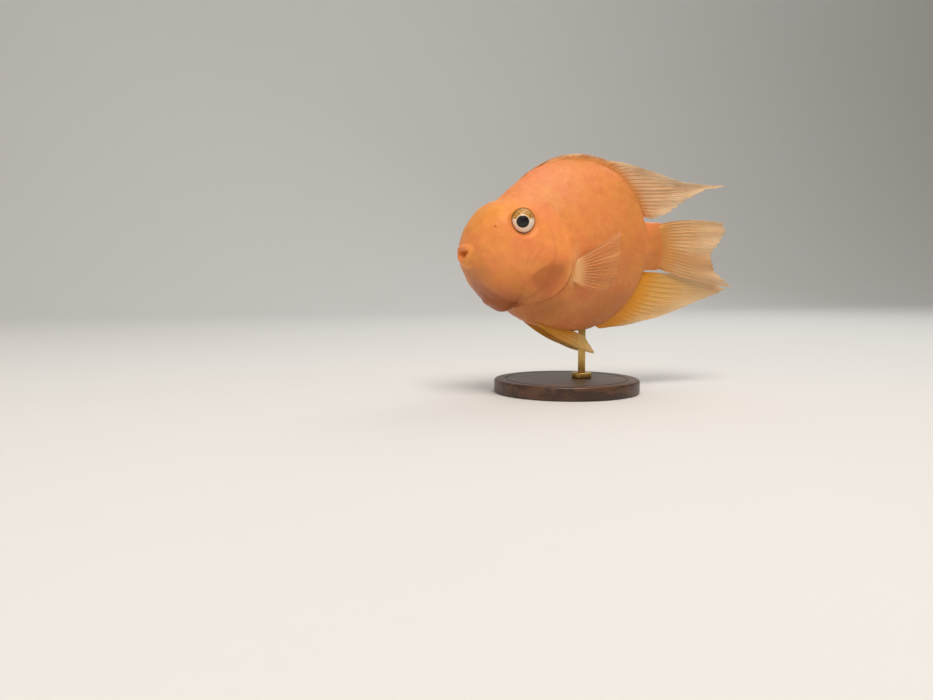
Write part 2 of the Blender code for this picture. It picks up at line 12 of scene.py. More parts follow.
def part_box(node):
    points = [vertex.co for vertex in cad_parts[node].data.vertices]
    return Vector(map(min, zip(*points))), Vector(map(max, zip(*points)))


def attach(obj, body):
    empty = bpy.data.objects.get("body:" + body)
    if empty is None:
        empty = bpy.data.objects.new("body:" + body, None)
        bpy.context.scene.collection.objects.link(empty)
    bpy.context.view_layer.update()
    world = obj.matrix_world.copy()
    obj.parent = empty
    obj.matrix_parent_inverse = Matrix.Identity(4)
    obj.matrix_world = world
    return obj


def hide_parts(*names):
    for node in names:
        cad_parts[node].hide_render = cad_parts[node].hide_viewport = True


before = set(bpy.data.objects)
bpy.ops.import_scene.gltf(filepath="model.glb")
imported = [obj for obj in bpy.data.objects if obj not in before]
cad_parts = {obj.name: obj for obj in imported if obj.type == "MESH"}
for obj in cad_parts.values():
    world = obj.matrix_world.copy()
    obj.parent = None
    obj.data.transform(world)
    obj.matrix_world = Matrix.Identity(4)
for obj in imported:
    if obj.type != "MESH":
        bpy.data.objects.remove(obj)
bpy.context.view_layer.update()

bl_info = {
    "name": "Blood parrot cichlid model",
    "version": (1, 0, 0),
    "blender": (4, 5, 0),
    "location": "3D View > Sidebar > Fish",
    "description": "Skin, scales, fins, eyes and display stand of a life-size blood parrot cichlid",
    "category": "Object",
}

MM = 0.001
FAR = 1000.0

# Sizes of the fish in millimetres from the middle of the body, as in the part's source
SNOUT_X, MOUTH_Z = -83.6, -5.0
BROW_X, BROW_Z, BROW_ROUND, BROW_BACK = -59.5, 25.0, 1.88, 30.0
THROAT_X, THROAT_Z, THROAT_ROUND, THROAT_BACK = -61.0, -39.0, 1.5, 12.5
BACK_X, BACK_Z, BACK_FRONT, BACK_REAR = -14.5, 49.4, 56.9, 47.4
BACK_FRONT_ROUND, BACK_REAR_ROUND = 1.8, 2.3
BELLY_X, BELLY_Z, BELLY_FRONT, BELLY_REAR = -16.0, -51.0, 59.5, 50.0
BELLY_ROUND = 2.05
FLANK_X, FLANK_Y, FLANK_FRONT, FLANK_ROUND = -34.0, 26.5, 49.6, 2.7
STALK_X, STALK_TOP, STALK_BOTTOM, STALK_Y = 44.0, 14.2, -15.0, 3.5
CREASE, STALK_FILLET = 1.5, 5.0
TURN_FROM, HEAD_TURN = -30.0, 4.5
WIDEST = ((SNOUT_X, MOUTH_Z), (-63, -9), (-32, -6), (0, -2), (STALK_X, -0.5))
BACK_SHAPE = ((SNOUT_X, 2.2), (-65, 2.4), (-55, 1.75), (-40, 1.45), (0, 1.5), (25, 1.8), (STALK_X, 2.0))
BELLY_SHAPE = ((SNOUT_X, 2.0), (-63, 1.95), (-42, 1.85), (0, 1.7), (25, 1.8), (STALK_X, 2.0))
BODY_HIGH, BODY_SHIFT = 87.0, -5.24

# Mouth rings from the closed back of the mouth over the lips to the face, each as its depth behind the
# snout, its half width, its height above and below the line of the mouth, and how round it is below
UPPER_LIP = 2.4
LIP_RINGS = ((1.4, 0.05, 0.02, 0.05, 1.3), (1.25, 1.7, 0.22, 1.3, 1.3), (0.7, 2.9, 0.32, 2.1, 1.25),
             (-0.1, 3.6, 0.42, 2.6, 1.2), (-1.1, 4.3, 0.75, 3.3, 1.25), (-1.95, 5.2, 1.5, 4.3, 1.4),
             (-2.4, 6.15, 2.4, 5.3, 1.6), (-2.0, 7.1, 3.25, 6.2, 1.7), (-1.1, 8.0, 4.15, 7.1, 1.8),
             (0.1, 9.2, 5.2, 8.2, 1.9))
# How far the lips draw back toward the corners of the mouth
LIP_SWEEP = 1.0
FACE_FROM = 24.0

EYE_AT = (-56.4, 16.8, 12.0)
EYE_RADIUS, EYE_FORWARD, EYE_UP = 7.5, math.radians(14), math.radians(5)
EYE_OPENING = 6.95
# Where the pupil looks, its radius, and how much wider than tall it is
LOOK_FORWARD, LOOK_UP = math.radians(25), math.radians(-4)
PUPIL, PUPIL_WIDE = 3.42, 1.05
NOSTRIL_AT, NOSTRIL_RADIUS = (-74.0, 8.5), 0.7

GILL_REAR = ((-60.6, 23.5), (-49, 22), (-38, 16.5), (-32, 8), (-29, 0), (-28.2, -10), (-29.4, -18.5),
             (-33.4, -25.4), (-41.0, -30.4), (-50.0, -33.2), (-58.8, -34.4))
GILL_FRONT = ((-46.0, 14.5), (-43.5, 10.5), (-40.6, 3), (-40, -5), (-41.8, -15), (-47, -24), (-53.5, -30),
              (-59, -33.2))
GILL_BULGE, GILL_SPREAD = 1.1, 15.0
# Lower edge of the cheek, over the throat, and the fold behind the corner of the mouth
CHEEK_EDGE = ((-82.2, -11.0), (-81.6, -13.6), (-80.0, -16.8), (-77.4, -21.0), (-73.0, -25.6), (-67.4, -29.2),
              (-59.5, -31.8), (-51.0, -32.2))
MOUTH_FOLD = ((-80.0, -4.5), (-77.4, -7.4), (-76.4, -11.5), (-77.8, -16.0))
# How far from the middle plane the cheek's fine lines begin, in millimetres
CHEEK_FROM = 8.0
# Fine streaks on the rear of the cheek
STREAKS = (((-49.8, -0.2), (-56.0, -7.2), (-58.7, -14.6)), ((-45.4, -1.8), (-51.8, -8.2), (-55.1, -13.7)),
           ((-39.2, -7.2), (-35.6, -11.3), (-33.6, -17.4)))
# Front edge of the thin, ruddy part of the gill cover, from its top
THIN_EDGE = ((-34.0, -6.0), (-40.5, -9.0), (-44.5, -12.0), (-48.7, -14.3), (-54.5, -18.5), (-57.5, -22.5))
# The fold between the throat and the bulge under the gill cover
THROAT_FOLD = ((-79.8, -20.2), (-76.2, -26.0), (-72.0, -30.2), (-66.8, -33.2))

# Spines of the back fin: how many, from where to where and how high; and the reach of the fin's thread
SPINES, SPINES_FROM, SPINES_TO, SPINE_HIGH = 13, -48.5, 2.5, 5.9
THREAD = (14.3, 0.0, 0.9)

# The camera fitted to the photo: place in millimetres from the fish's middle, and which way it looks
LENS, CAMERA_AT = 34.53, (-253.5, -477.8, -15.8)
HEADING, PITCH = math.radians(19.83), math.radians(-5.0)

# The paper sweep, in metres
SWEEP_SIDE, SWEEP_NEAR, SWEEP_FAR, SWEEP_BEND, SWEEP_TOP = 3.2, -2.5, 1.0, 0.8, 3.0

# Rows and columns of the skin's grid; each third step is a place of the finer table under it
FACE_ROWS, CHEEK_ROWS, FLANK_ROWS, END_ROWS, LIP_STEPS = 56, 62, 74, 7, 4
COLUMNS = 248
FINE = 3
# Width of one scale's patch on the unwrap
PATCH = 0.003


def quarter(share, roundness):
    """Height of a superellipse of height 1 at this share of its length."""
    return np.maximum(0.0, 1.0 - np.minimum(1.0, np.abs(share)) ** roundness) ** (1.0 / roundness)


def arch(x, top_x, top, foot, front, rear, front_round, rear_round):
    """An arch that rises from foot to top at top_x, and has nothing beyond its two ends."""
    ahead = x < top_x
    share = (x - top_x) / np.where(ahead, front, rear)
    shape = np.where(ahead, quarter(share, front_round), quarter(share, rear_round))
    return np.where(np.abs(share) > 1.0, -FAR if top > foot else FAR, foot + (top - foot) * shape)


def joined(a, b, blend):
    """The higher of two outlines, with the corner between them filled over blend."""
    near = np.maximum(blend - np.abs(a - b), 0.0) / blend
    return np.maximum(a, b) + near * near * blend / 4.0


def along(stations, x):
    """A smooth curve through the stations, read at x."""
    xs, ys = np.array(stations, float).T
    x = np.clip(x, xs[0], xs[-1])
    i = np.clip(np.searchsorted(xs, x, side="right") - 1, 0, len(xs) - 2)
    before, after = np.maximum(i - 1, 0), np.minimum(i + 2, len(xs) - 1)
    step = xs[i + 1] - xs[i]
    rise = (ys[i + 1] - ys[before]) / (xs[i + 1] - xs[before]) * step
    fall = (ys[after] - ys[i]) / (xs[after] - xs[i]) * step
    t = (x - xs[i]) / step
    return (ys[i] * (1 + 2 * t) * (1 - t) ** 2 + rise * t * (1 - t) ** 2
            + ys[i + 1] * t * t * (3 - 2 * t) + fall * t * t * (t - 1))


def eased(share):
    """A smooth step from 0 to 1."""
    t = np.clip(share, 0.0, 1.0)
    return t * t * (3 - 2 * t)


def bump(distance, width):
    """A smooth hill of height 1 and this half width."""
    return np.exp(-((distance / width) ** 2))


def faded(share, first, last):
    """The strength of a fold along its line: it grows over its first share and dies away over its last."""
    return eased(share / first) * eased((1.0 - share) / last)


def top_line(x):
    """Height of the back: forehead, nape crease, hump and tail stalk."""
    forehead = arch(x, BROW_X, BROW_Z, MOUTH_Z, BROW_X - SNOUT_X, BROW_BACK, BROW_ROUND, 2.0)
    hump = arch(x, BACK_X, BACK_Z, 0.0, BACK_FRONT, BACK_REAR, BACK_FRONT_ROUND, BACK_REAR_ROUND)
    return joined(joined(forehead, hump, CREASE), np.where(x > 0, STALK_TOP, -FAR), STALK_FILLET)


def bottom_line(x):
    """Height of the underside: chin, throat notch, belly and tail stalk."""
    chin = arch(x, THROAT_X, THROAT_Z, MOUTH_Z, THROAT_X - SNOUT_X, THROAT_BACK, THROAT_ROUND, 2.0)
    belly = arch(x, BELLY_X, BELLY_Z, 0.0, BELLY_FRONT, BELLY_REAR, BELLY_ROUND, BELLY_ROUND)
    return -joined(joined(-chin, -belly, CREASE), np.where(x > 0, -STALK_BOTTOM, -FAR), STALK_FILLET)


def flank(x):
    """Half width of the body."""
    share = np.clip((x - FLANK_X) / (STALK_X - FLANK_X), 0.0, 1.0)
    rear = STALK_Y + (FLANK_Y - STALK_Y) * (1.0 - share ** 2.2) ** 1.5
    return np.where(x < FLANK_X, FLANK_Y * quarter((x - FLANK_X) / FLANK_FRONT, FLANK_ROUND), rear)


def placed(points):
    """Points from the middle of the straight body, in the part's frame with the head turned."""
    x, y, z = np.moveaxis(np.asarray(points, float), -1, 0)
    reach = TURN_FROM - SNOUT_X
    ahead = np.maximum(0.0, TURN_FROM - x)
    angle, swing = 2.0 * HEAD_TURN * ahead / reach ** 2, HEAD_TURN * (ahead / reach) ** 2
    bent = (x - y * np.sin(angle) + BODY_SHIFT, y * np.cos(angle) - swing, z + BODY_HIGH)
    return np.stack(bent, axis=-1) * MM


def even_ring(half_width, up, down, up_shape, down_shape):
    """A cross section as (y, z), its four quarters each spaced evenly along their length."""
    count = COLUMNS * FINE // 4
    fine = np.linspace(0.0, math.pi / 2, 900)
    parts = []
    for k in range(4):
        high, shape = (down, down_shape) if k > 1 else (up, up_shape)
        y = np.cos(fine) ** (2.0 / shape) * half_width
        z = np.sin(fine) ** (2.0 / shape) * high
        length = np.concatenate(([0.0], np.cumsum(np.hypot(np.diff(y), np.diff(z)))))
        marks = np.arange(count) / count * length[-1]
        if k % 2:
            marks = length[-1] - marks
        y, z = np.interp(marks, length, y), np.interp(marks, length, z)
        parts.append(np.stack((y * (-1 if k in (1, 2) else 1), z * (-1 if k > 1 else 1)), axis=-1))
    return np.concatenate(parts + [parts[0][:1]])


def body_ring(x, middle_share=1.0):
    """The body's even cross section at x, drawn in toward its middle by middle_share."""
    x = np.float64(x)
    middle = along(WIDEST, x)
    ring = even_ring(flank(x), top_line(x) - middle, middle - bottom_line(x), along(BACK_SHAPE, x),
                     along(BELLY_SHAPE, x))
    y, z = ring.T * middle_share
    return np.column_stack((np.full(len(ring), x), y, z + middle))


def mouth_ring(depth, half_width, up, down, round_below):
    """One even ring of the mouth: flat along the upper lip and pointed below."""
    ring = even_ring(half_width, up, down, UPPER_LIP, round_below)
    y, z = ring.T
    sweep = LIP_SWEEP * np.clip(half_width / 5.0, 0.0, 1.0) * np.abs(y / half_width) ** 4
    return np.column_stack((SNOUT_X + depth + sweep, y, z + MOUTH_Z))


def spline_rows(keys, steps):
    """Rows on a smooth curve through the key rings."""
    rows = []
    for i in range(len(keys) - 1):
        a, b, c, d = (keys[min(max(i + k, 0), len(keys) - 1)] for k in (-1, 0, 1, 2))
        for k in range(steps):
            t = k / steps
            rows.append(0.5 * (2 * b + (c - a) * t + (2 * a - 5 * b + 4 * c - d) * t * t
                               + (3 * b - a - 3 * c + d) * t ** 3))
    return rows


def line_distance(x, z, line):
    """Distance from a side-view line, positive on its front side, and how far along it lies."""
    line = np.array(line, float)
    best, side, share = np.full(x.shape, 1e9), np.ones(x.shape), np.zeros(x.shape)
    for i, (a, b) in enumerate(zip(line, line[1:])):
        run = b - a
        t = np.clip(((x - a[0]) * run[0] + (z - a[1]) * run[1]) / (run @ run), 0.0, 1.0)
        dx, dz = x - a[0] - t * run[0], z - a[1] - t * run[1]
        far = np.hypot(dx, dz)
        closer = far < best
        best = np.where(closer, far, best)
        side = np.where(closer, np.sign(run[1] * dx - run[0] * dz), side)
        share = np.where(closer, (i + t) / (len(line) - 1), share)
    return best * side, share


def smoothed(points, steps=4):
    """Points on a smooth curve through the given side-view points."""
    rows = spline_rows([np.array(p, float) for p in points], steps)
    return rows + [np.array(points[-1], float)]


def eye_axis(side, forward=EYE_FORWARD, up=EYE_UP):
    """The way an eye faces, on the straight body."""
    level = math.cos(up)
    return np.array((-math.sin(forward) * level, side * math.cos(forward) * level, math.sin(up)))


class Surface:
    """The skin as a fine table of points, with the head's forms in it and marks for its materials."""

    def __init__(self, coat):
        muzzle = BROW_X - SNOUT_X
        turns = np.radians(np.linspace(FACE_FROM, 90.0, FACE_ROWS * FINE + 1))
        face = BROW_X - muzzle * np.cos(turns)
        cheek = np.linspace(BROW_X, -26.0, CHEEK_ROWS * FINE + 1)[1:]
        rear = np.linspace(-26.0, STALK_X, FLANK_ROWS * FINE + 1)[1:]
        self.xs = np.concatenate((face, cheek, rear))
        keys = [mouth_ring(*ring) for ring in LIP_RINGS] + [body_ring(face[0]), body_ring(face[9])]
        lips = spline_rows(keys, LIP_STEPS * FINE)[:-LIP_STEPS * FINE]
        body = [body_ring(x) for x in self.xs]
        turns = np.linspace(0.0, math.pi / 2, END_ROWS * FINE + 1)[1:]
        ends = [body_ring(STALK_X, max(0.02, math.cos(a))) + (2.6 * math.sin(a), 0, 0) for a in turns]
        self.lip_rows = len(lips)
        self.points = np.array(lips + body + ends)
        self.rows, self.columns = len(self.points) - 1, COLUMNS * FINE
        self.plain = self.points.copy()
        ring = np.arange(len(self.points))[:, None] / (LIP_STEPS * FINE) + 0.0 * self.points[..., 0]
        self.mouth = 1.0 - eased((ring - 2.4) / 1.5)
        self.lip_crease = bump(ring - 8.5, 0.7)
        self.shape_head(coat)
        self.normal = self.normals()

    def normals(self):
        """Outward directions over the table."""
        down = np.gradient(self.points, axis=0)
        around = np.gradient(self.points, axis=1)
        around[:, 0] = around[:, -1] = self.points[:, 1] - self.points[:, -2]
        normal = np.cross(around, down)
        return normal / np.maximum(np.linalg.norm(normal, axis=2, keepdims=True), 1e-9)

    def shape_head(self, coat):
        """Adds gill covers, eye rims, nostrils and folds, and sinks the skin under the scales."""
        x, y, z = np.moveaxis(self.plain, -1, 0)
        self.rear, rear_share = line_distance(x, z, smoothed(GILL_REAR))
        front, front_share = line_distance(x, z, smoothed(GILL_FRONT))
        body = np.arange(len(x))[:, None] >= self.lip_rows
        side = eased((np.abs(y) - 5.0) / 6.0) * body
        high = eased((rear_share - 0.24) / 0.25) * eased((1.02 - rear_share) / 0.25)
        cover = GILL_BULGE * high * bump(np.maximum(self.rear, 0.0), GILL_SPREAD)
        cover = cover * eased((self.rear + 0.7) / 0.7)
        groove = eased((rear_share - 0.26) / 0.3) * eased((1.03 - rear_share) / 0.05)
        groove = groove * bump(self.rear + 0.9, 0.6)
        plate = (0.16 * bump(np.maximum(-front, 0), 0.8) * bump(np.maximum(front, 0), 3.5)
                 - 0.12 * bump(front + 0.8, 1.0)) * faded(front_share, 0.3, 0.25)
        below, below_share = line_distance(x, z, smoothed(CHEEK_EDGE))
        ends = faded(below_share, 0.15, 0.3) * body
        cheek = (0.30 * bump(np.minimum(below, 0.0), 4.5) * eased((0.9 - below) / 1.6)
                 - 0.34 * bump(below - 1.5, 1.5)) * ends
        out = (cover - 0.4 * groove + plate) * side + cheek
        # painted shade in the groove under the gill cover's rear edge, strongest low down
        self.gill = np.clip(groove * (0.25 + 0.75 * eased((rear_share - 0.5) / 0.2)) * side, 0, 1)
        near_cover = (side > 0.05) & (rear_share > 0.22) & (rear_share < 0.995)
        self.zone = (near_cover & (np.abs(self.rear + 0.5) < 1.3)) * 1.0
        # painted shade in the groove before the gill cover's front edge and in the shadow line under the
        # cheek's edge
        self.fold = np.clip(0.25 * bump(front + 0.8, 1.2) * side * eased(front_share / 0.3)
                            + 0.75 * bump(below - 1.3, 1.5) * ends, 0, 1)
        # the ruddy throat starts as a faint band above the edge of the cheek
        self.throat = (np.maximum(eased((below + 1.0) / 2.8), 0.42 * eased((below + 6.5) / 6.5))
                       * eased((below_share - 0.05) / 0.2) * eased((-51.0 - x) / 8.0) * body)
        self.bulge = self.throat * eased((-25.0 - z) / 9.0)
        # painted shade in the crease round the lips
        self.fold = np.maximum(self.fold, 0.25 * self.lip_crease)
        out = out - coat * eased(-(self.rear + 1.2) / 2.0) * body - 0.08 * self.lip_crease
        out = out + self.folds(x, y, z) * body + self.roots(x, y, z) * body
        self.points = self.plain + self.normals() * out[..., None]
        self.open_eyes(body)

    def folds(self, x, y, z):
        """Fine folds by the mouth and throat, the nostrils, and the soft unevenness of flesh."""
        cheek = np.abs(y) > CHEEK_FROM
        fold, share = line_distance(x, z, smoothed(MOUTH_FOLD))
        out = -0.26 * bump(fold, 1.2) * faded(share, 0.15, 0.4)
        for streak in STREAKS:
            line, share = line_distance(x, z, smoothed(streak))
            near = bump(line, 0.7) * faded(share, 0.4, 0.4) * cheek
            out = out - 0.12 * near
            # painted shade in each streak's groove
            self.fold = np.maximum(self.fold, 0.30 * near)
        thin, share = line_distance(x, z, smoothed(THIN_EDGE))
        ends = faded(share, 0.2, 0.3) * cheek
        out = out + (0.14 * bump(thin - 0.7, 0.7) - 0.12 * bump(thin + 0.5, 0.7)) * ends
        self.thin = (eased((0.4 - thin) / 1.2) * eased((thin + 19.0) / 13.0) * eased((self.rear - 0.3) / 7.0)
                     * eased((-8.0 - z) / 6.0) * eased((1 - share) / 0.35) * cheek)
        bulge, share = line_distance(x, z, smoothed(THROAT_FOLD))
        ends = faded(share, 0.2, 0.15)
        out = out + (0.35 * bump(bulge - 2.2, 2.2) - 0.4 * bump(bulge, 0.8)) * ends
        # painted shade in the fold over the throat's bulge
        self.fold = np.maximum(self.fold, 0.8 * bump(bulge, 0.9) * ends * (z < -20))
        inside = NOSTRIL_RADIUS - np.hypot(x - NOSTRIL_AT[0], z - NOSTRIL_AT[1])
        out = out - 0.45 * eased(inside / 0.6 + 0.4) + 0.12 * bump(inside + 0.4, 0.45)
        # this mark makes the skin finer round the nostril and darkens its pit as painted shade
        self.nostril = eased(inside / 0.5 + 0.5)
        bag = np.hypot((x - EYE_AT[0]) / 1.05, z - EYE_AT[2] + 1.0)
        out = out - 0.10 * bump(bag - 10.6, 0.9) * eased((EYE_AT[2] - 2.0 - z) / 6.0)
        wave = (np.sin(x * 0.41 + 0.3 * z) * np.sin(z * 0.37 - 0.2 * x + 1.1) * np.cos(0.5 * y)
                + 0.6 * np.sin(x * 0.23 - 0.45 * z + 2.0) * np.cos(z * 0.21 + y * 0.3))
        return out + 0.17 * wave

    def roots(self, x, y, z):
        """The flesh raised a little where each fin grows."""
        back = bump(y, 2.2) * (z > 10) * eased((x + 47) / 6) * eased((34 - x) / 5)
        under = bump(y, 2.2) * (z < -12) * eased(x / 5) * eased((36 - x) / 5)
        shoulder, _ = line_distance(x, z, ((-26.6, -8.6), (-26.0, -15.5), (-26.6, -23.0)))
        belly, _ = line_distance(x, np.abs(y), ((-40.0, 7.6), (-26.0, 6.0), (-19.0, 4.6)))
        tail = eased((x - 41.0) / 3.0)
        return (0.5 * back + 0.5 * under + 0.9 * bump(shoulder, 1.6) * (np.abs(y) > 15)
                + 0.5 * bump(belly, 1.8) * (z < -40) - 0.25 * tail)

    def open_eyes(self, body):
        """Draws the skin up to each eye in a thin rim and down behind the eyeball."""
        self.rim = np.zeros(self.points.shape[:2])
        for side in (-1, 1):
            centre, axis = np.array((EYE_AT[0], side * EYE_AT[1], EYE_AT[2])), eye_axis(side)
            away = self.points - centre
            height = away @ axis
            across = away - height[..., None] * axis
            radius = np.linalg.norm(across, axis=2)
            near = (height > -6.0) & body & (self.points[..., 1] * side > 0)
            edge = math.sqrt(EYE_RADIUS ** 2 - EYE_OPENING ** 2)
            pull = eased(1.0 - (radius - EYE_OPENING) / 3.4)
            raised = height + (edge + 0.25 - height) * pull
            sunk = 3.4 * eased((EYE_OPENING - radius) / 0.7)
            wanted = np.where(near, raised - sunk, height)
            self.points = self.points + (wanted - height)[..., None] * axis
            # painted shade in the crevice where the skin meets the eyeball
            self.rim = np.maximum(self.rim, bump(radius - EYE_OPENING + 0.1, 0.45) * near)
            self.zone[near & (radius < EYE_OPENING + 2.6) & (radius > EYE_OPENING - 1.6)] = 1.0
        self.zone = np.maximum(self.zone, self.nostril * body)

    def row_at(self, x):
        """The table's row that stands at x."""
        return self.lip_rows + np.interp(x, self.xs, np.arange(len(self.xs)))

    def quarter_length(self, row, up):
        """Length from the widest line to the back, or to the belly where up is not positive."""
        count = self.columns // 4
        steps = np.linalg.norm(np.diff(self.plain, axis=1), axis=2)
        above, below = steps[:, :count].sum(axis=1), steps[:, -count:].sum(axis=1)
        row = np.clip(row, 0, self.rows)
        marks = np.arange(self.rows + 1)
        return np.where(np.asarray(up) > 0, np.interp(row, marks, above), np.interp(row, marks, below))

    def column_at(self, x, arc, side):
        """The table's column that lies arc millimetres above the widest line at x."""
        share = np.clip(np.abs(arc) / self.quarter_length(self.row_at(x), arc), 0.0, 0.995) * self.columns / 4
        if side > 0:
            return np.where(arc > 0, share, self.columns - share)
        return self.columns / 2 + np.where(arc > 0, -share, share)

    def at_mark(self, name, row, column):
        """A mark of the table at the nearest place."""
        return getattr(self, name)[np.rint(row).astype(int), np.rint(column).astype(int)]

    def at(self, row, column, what="points"):
        """A place or an outward direction between the table's points."""
        table = {"points": self.points, "normal": self.normal}[what]
        row = np.clip(row, 0, self.rows - 1e-6)
        column = np.clip(column, 0, self.columns - 1e-6)
        i, j = np.floor(row).astype(int), np.floor(column).astype(int)
        s, t = (row - i)[..., None], (column - j)[..., None]
        return ((table[i, j] * (1 - s) + table[i + 1, j] * s) * (1 - t)
                + (table[i, j + 1] * (1 - s) + table[i + 1, j + 1] * s) * t)


def linear(code):
    """An sRGB hex colour as linear red, green, blue and alpha."""
    parts = [int(code[i:i + 2], 16) / 255.0 for i in (1, 3, 5)]
    return tuple(p / 12.92 if p <= 0.04045 else ((p + 0.055) / 1.055) ** 2.4 for p in parts) + (1.0,)


def add(tree, kind, inputs=None, **settings):
    """Adds one node, with its settings and with a number or a link for each named input."""
    made = tree.nodes.new("ShaderNode" + kind)
    for name, value in settings.items():
        setattr(made, name, value)
    for name, value in (inputs or {}).items():
        socket = made.inputs[name]
        if isinstance(value, bpy.types.NodeSocket):
            tree.links.new(value, socket)
        else:
            socket.default_value = value
    return made


def new_material(name, **flat):
    """A material, its nodes, its Principled shader with the even values set, and its object coordinates."""
    material = bpy.data.materials.new(name)
    material.use_nodes = True
    shader = material.node_tree.nodes["Principled BSDF"]
    for socket, value in flat.items():
        shader.inputs[socket.replace("_", " ")].default_value = value
    tree = material.node_tree
    return material, tree, shader, add(tree, "TexCoord").outputs["Object"]


def mixed(tree, share, a, b, blend="MIX"):
    """One colour turned into another by share."""
    node = add(tree, "Mix", {0: share, 6: a, 7: b}, data_type="RGBA", blend_type=blend)
    return node.outputs[2]


def ranged(tree, value, low, high, to_low=0.0, to_high=1.0, soft=False):
    """A value stretched from one range to another, and kept inside it."""
    node = add(tree, "MapRange", {"Value": value, "From Min": low, "From Max": high, "To Min": to_low,
                                  "To Max": to_high}, interpolation_type="SMOOTHSTEP" if soft else "LINEAR")
    return node.outputs["Result"]


def noise_at(tree, where, per_metre, detail=3.0, roughness=0.55, output="Fac"):
    """Soft random variation with this many cells in a metre."""
    inputs = {"Vector": where, "Scale": per_metre, "Detail": detail, "Roughness": roughness}
    return add(tree, "TexNoise", inputs).outputs[output]


def worked(tree, operation, a, b=0.0, clamp=False):
    """A number worked out from one or two others."""
    return add(tree, "Math", {0: a, 1: b}, operation=operation, use_clamp=clamp).outputs[0]


def relief(tree, shader, height, strength, deep, over=None, sunk=False):
    """Fine relief of this depth in millimetres on the shader, on top of other relief where there is some."""
    inputs = {"Strength": strength, "Distance": deep * MM, "Height": height}
    if over:
        inputs["Normal"] = over
    normal = add(tree, "Bump", inputs, invert=sunk).outputs[0]
    tree.links.new(normal, shader.inputs["Normal"])
    return normal


def attribute(tree, name):
    """A mark that the mesh carries, by its name."""
    return add(tree, "Attribute", attribute_name=name).outputs["Fac"]


# Markings of the body, each as the name of its colour, its middle and reach in millimetres, and how strong
# it is; later ones lie over earlier
MARKINGS = (
    ("cheek", (-62, 0, -6), (34, 60, 24), 0.80),
    ("brow", (-70, 0, 14), (30, 44, 24), 0.95),
    ("gold", (-79, 0, -13), (9, 90, 9), 0.60),
    ("gold", (-66, 0, -20), (16, 90, 8), 0.55),
    ("nape", (-38, 0, 34), (38, 60, 32), 0.90),
    ("ridge", (-6, 0, 53), (54, 12, 13), 0.95),
    ("hind_flank", (22, 0, -2), (34, 60, 38), 0.85),
    ("ridge", (24, 0, 32), (24, 60, 20), 0.50),
    ("stalk", (46, 0, 0), (18, 30, 24), 0.85),
    # partly the lower cheek's ruddy colour, partly painted shade of the cheek's underside
    ("jowl_and_shade", (-56, 0, -31), (30, 90, 14), 0.95),
    ("belly", (-22, 0, -48), (56, 70, 28), 0.90),
    ("vent", (10, 0, -40), (34, 50, 24), 0.90),
    ("thin_gill", (-42, 0, -20), (20, 200, 14), 0.65),
    # painted shadow under the edge of the gill cover
    ("under_gill_shadow", (-47, 0, -36), (32, 200, 11), 0.85),
    ("throat_bulge", (-68, 0, -37), (13, 60, 10), 0.80),
    ("shoulder", (-27, 0, -14), (6, 200, 19), 0.85),
    ("lips", (-82, 0, -6), (6, 12, 9), 0.80),
)


def markings(tree, where):
    """The body's markings as one colour, with painted shadow under the gill cover and painted shade on the
    jowl; skin and scales both use this.
    """
    colours = bpy.context.scene.fish_colours
    drift = noise_at(tree, where, 55.0, 3.0, output="Color")
    shift = add(tree, "VectorMath", {0: drift, 1: (0.5, 0.5, 0.5)}, operation="SUBTRACT")
    moved = add(tree, "VectorMath", {0: shift.outputs[0], "Scale": 10 * MM}, operation="SCALE")
    point = add(tree, "VectorMath", {0: where, 1: moved.outputs[0]}, operation="ADD").outputs[0]
    colour = tuple(colours.body)
    for name, centre, reach, share in MARKINGS:
        off = add(tree, "VectorMath", {0: point, 1: tuple(placed(centre))}, operation="SUBTRACT")
        near = add(tree, "VectorMath", {0: off.outputs[0], 1: tuple(1 / (r * MM) for r in reach)},
                   operation="MULTIPLY")
        length = add(tree, "VectorMath", {0: near.outputs[0]}, operation="LENGTH").outputs["Value"]
        colour = mixed(tree, ranged(tree, length, 1.0, 0.25, 0.0, share, soft=True), colour,
                       tuple(getattr(colours, name)))
    # pigment lies in soft clouds about 3, 6 and 15 mm across
    for cells, low, share_low, high, share_high in ((340.0, "#F8AC58", 0.10, "#C86434", 0.12),
                                                    (160.0, "#F8AC58", 0.18, "#D06A38", 0.22),
                                                    (65.0, "#EEA448", 0.28, "#F07E5C", 0.28)):
        cloud = ranged(tree, noise_at(tree, where, cells, 4.0), 0.35, 0.65)
        colour = mixed(tree, cloud, mixed(tree, share_low, colour, linear(low)),
                       mixed(tree, share_high, colour, linear(high)))
    return colour


# Colours of the head's forms, each by the mark that the skin carries for it, and how strong it is. The folds,
# the groove under the gill cover, the crevice round the eye and the nostril's pit get painted shade; the
# others are the skin's own colours
FORM_COLOURS = (("thin", "#A85C38", 0.55), ("throat", "#AE6E50", 0.90), ("bulge", "#9A5228", 0.85),
                ("fold_line", "#9A5838", 0.50), ("gill_line", "#A25C36", 0.32), ("eye_rim", "#6A3E24", 0.50),
                ("mouth", "#E08E42", 0.92), ("nostril", "#A86030", 0.22))

# Steps from one growth ring to the next on a scale, and from joint to joint in a ray, in millimetres
SCALE_RING, RAY_JOINT = 0.28, 0.7

# Light goes a little way into flesh and comes out redder
FLESH = {"Specular_Tint": linear("#FFDCC0"), "Subsurface_Radius": (1.0, 0.35, 0.12)}


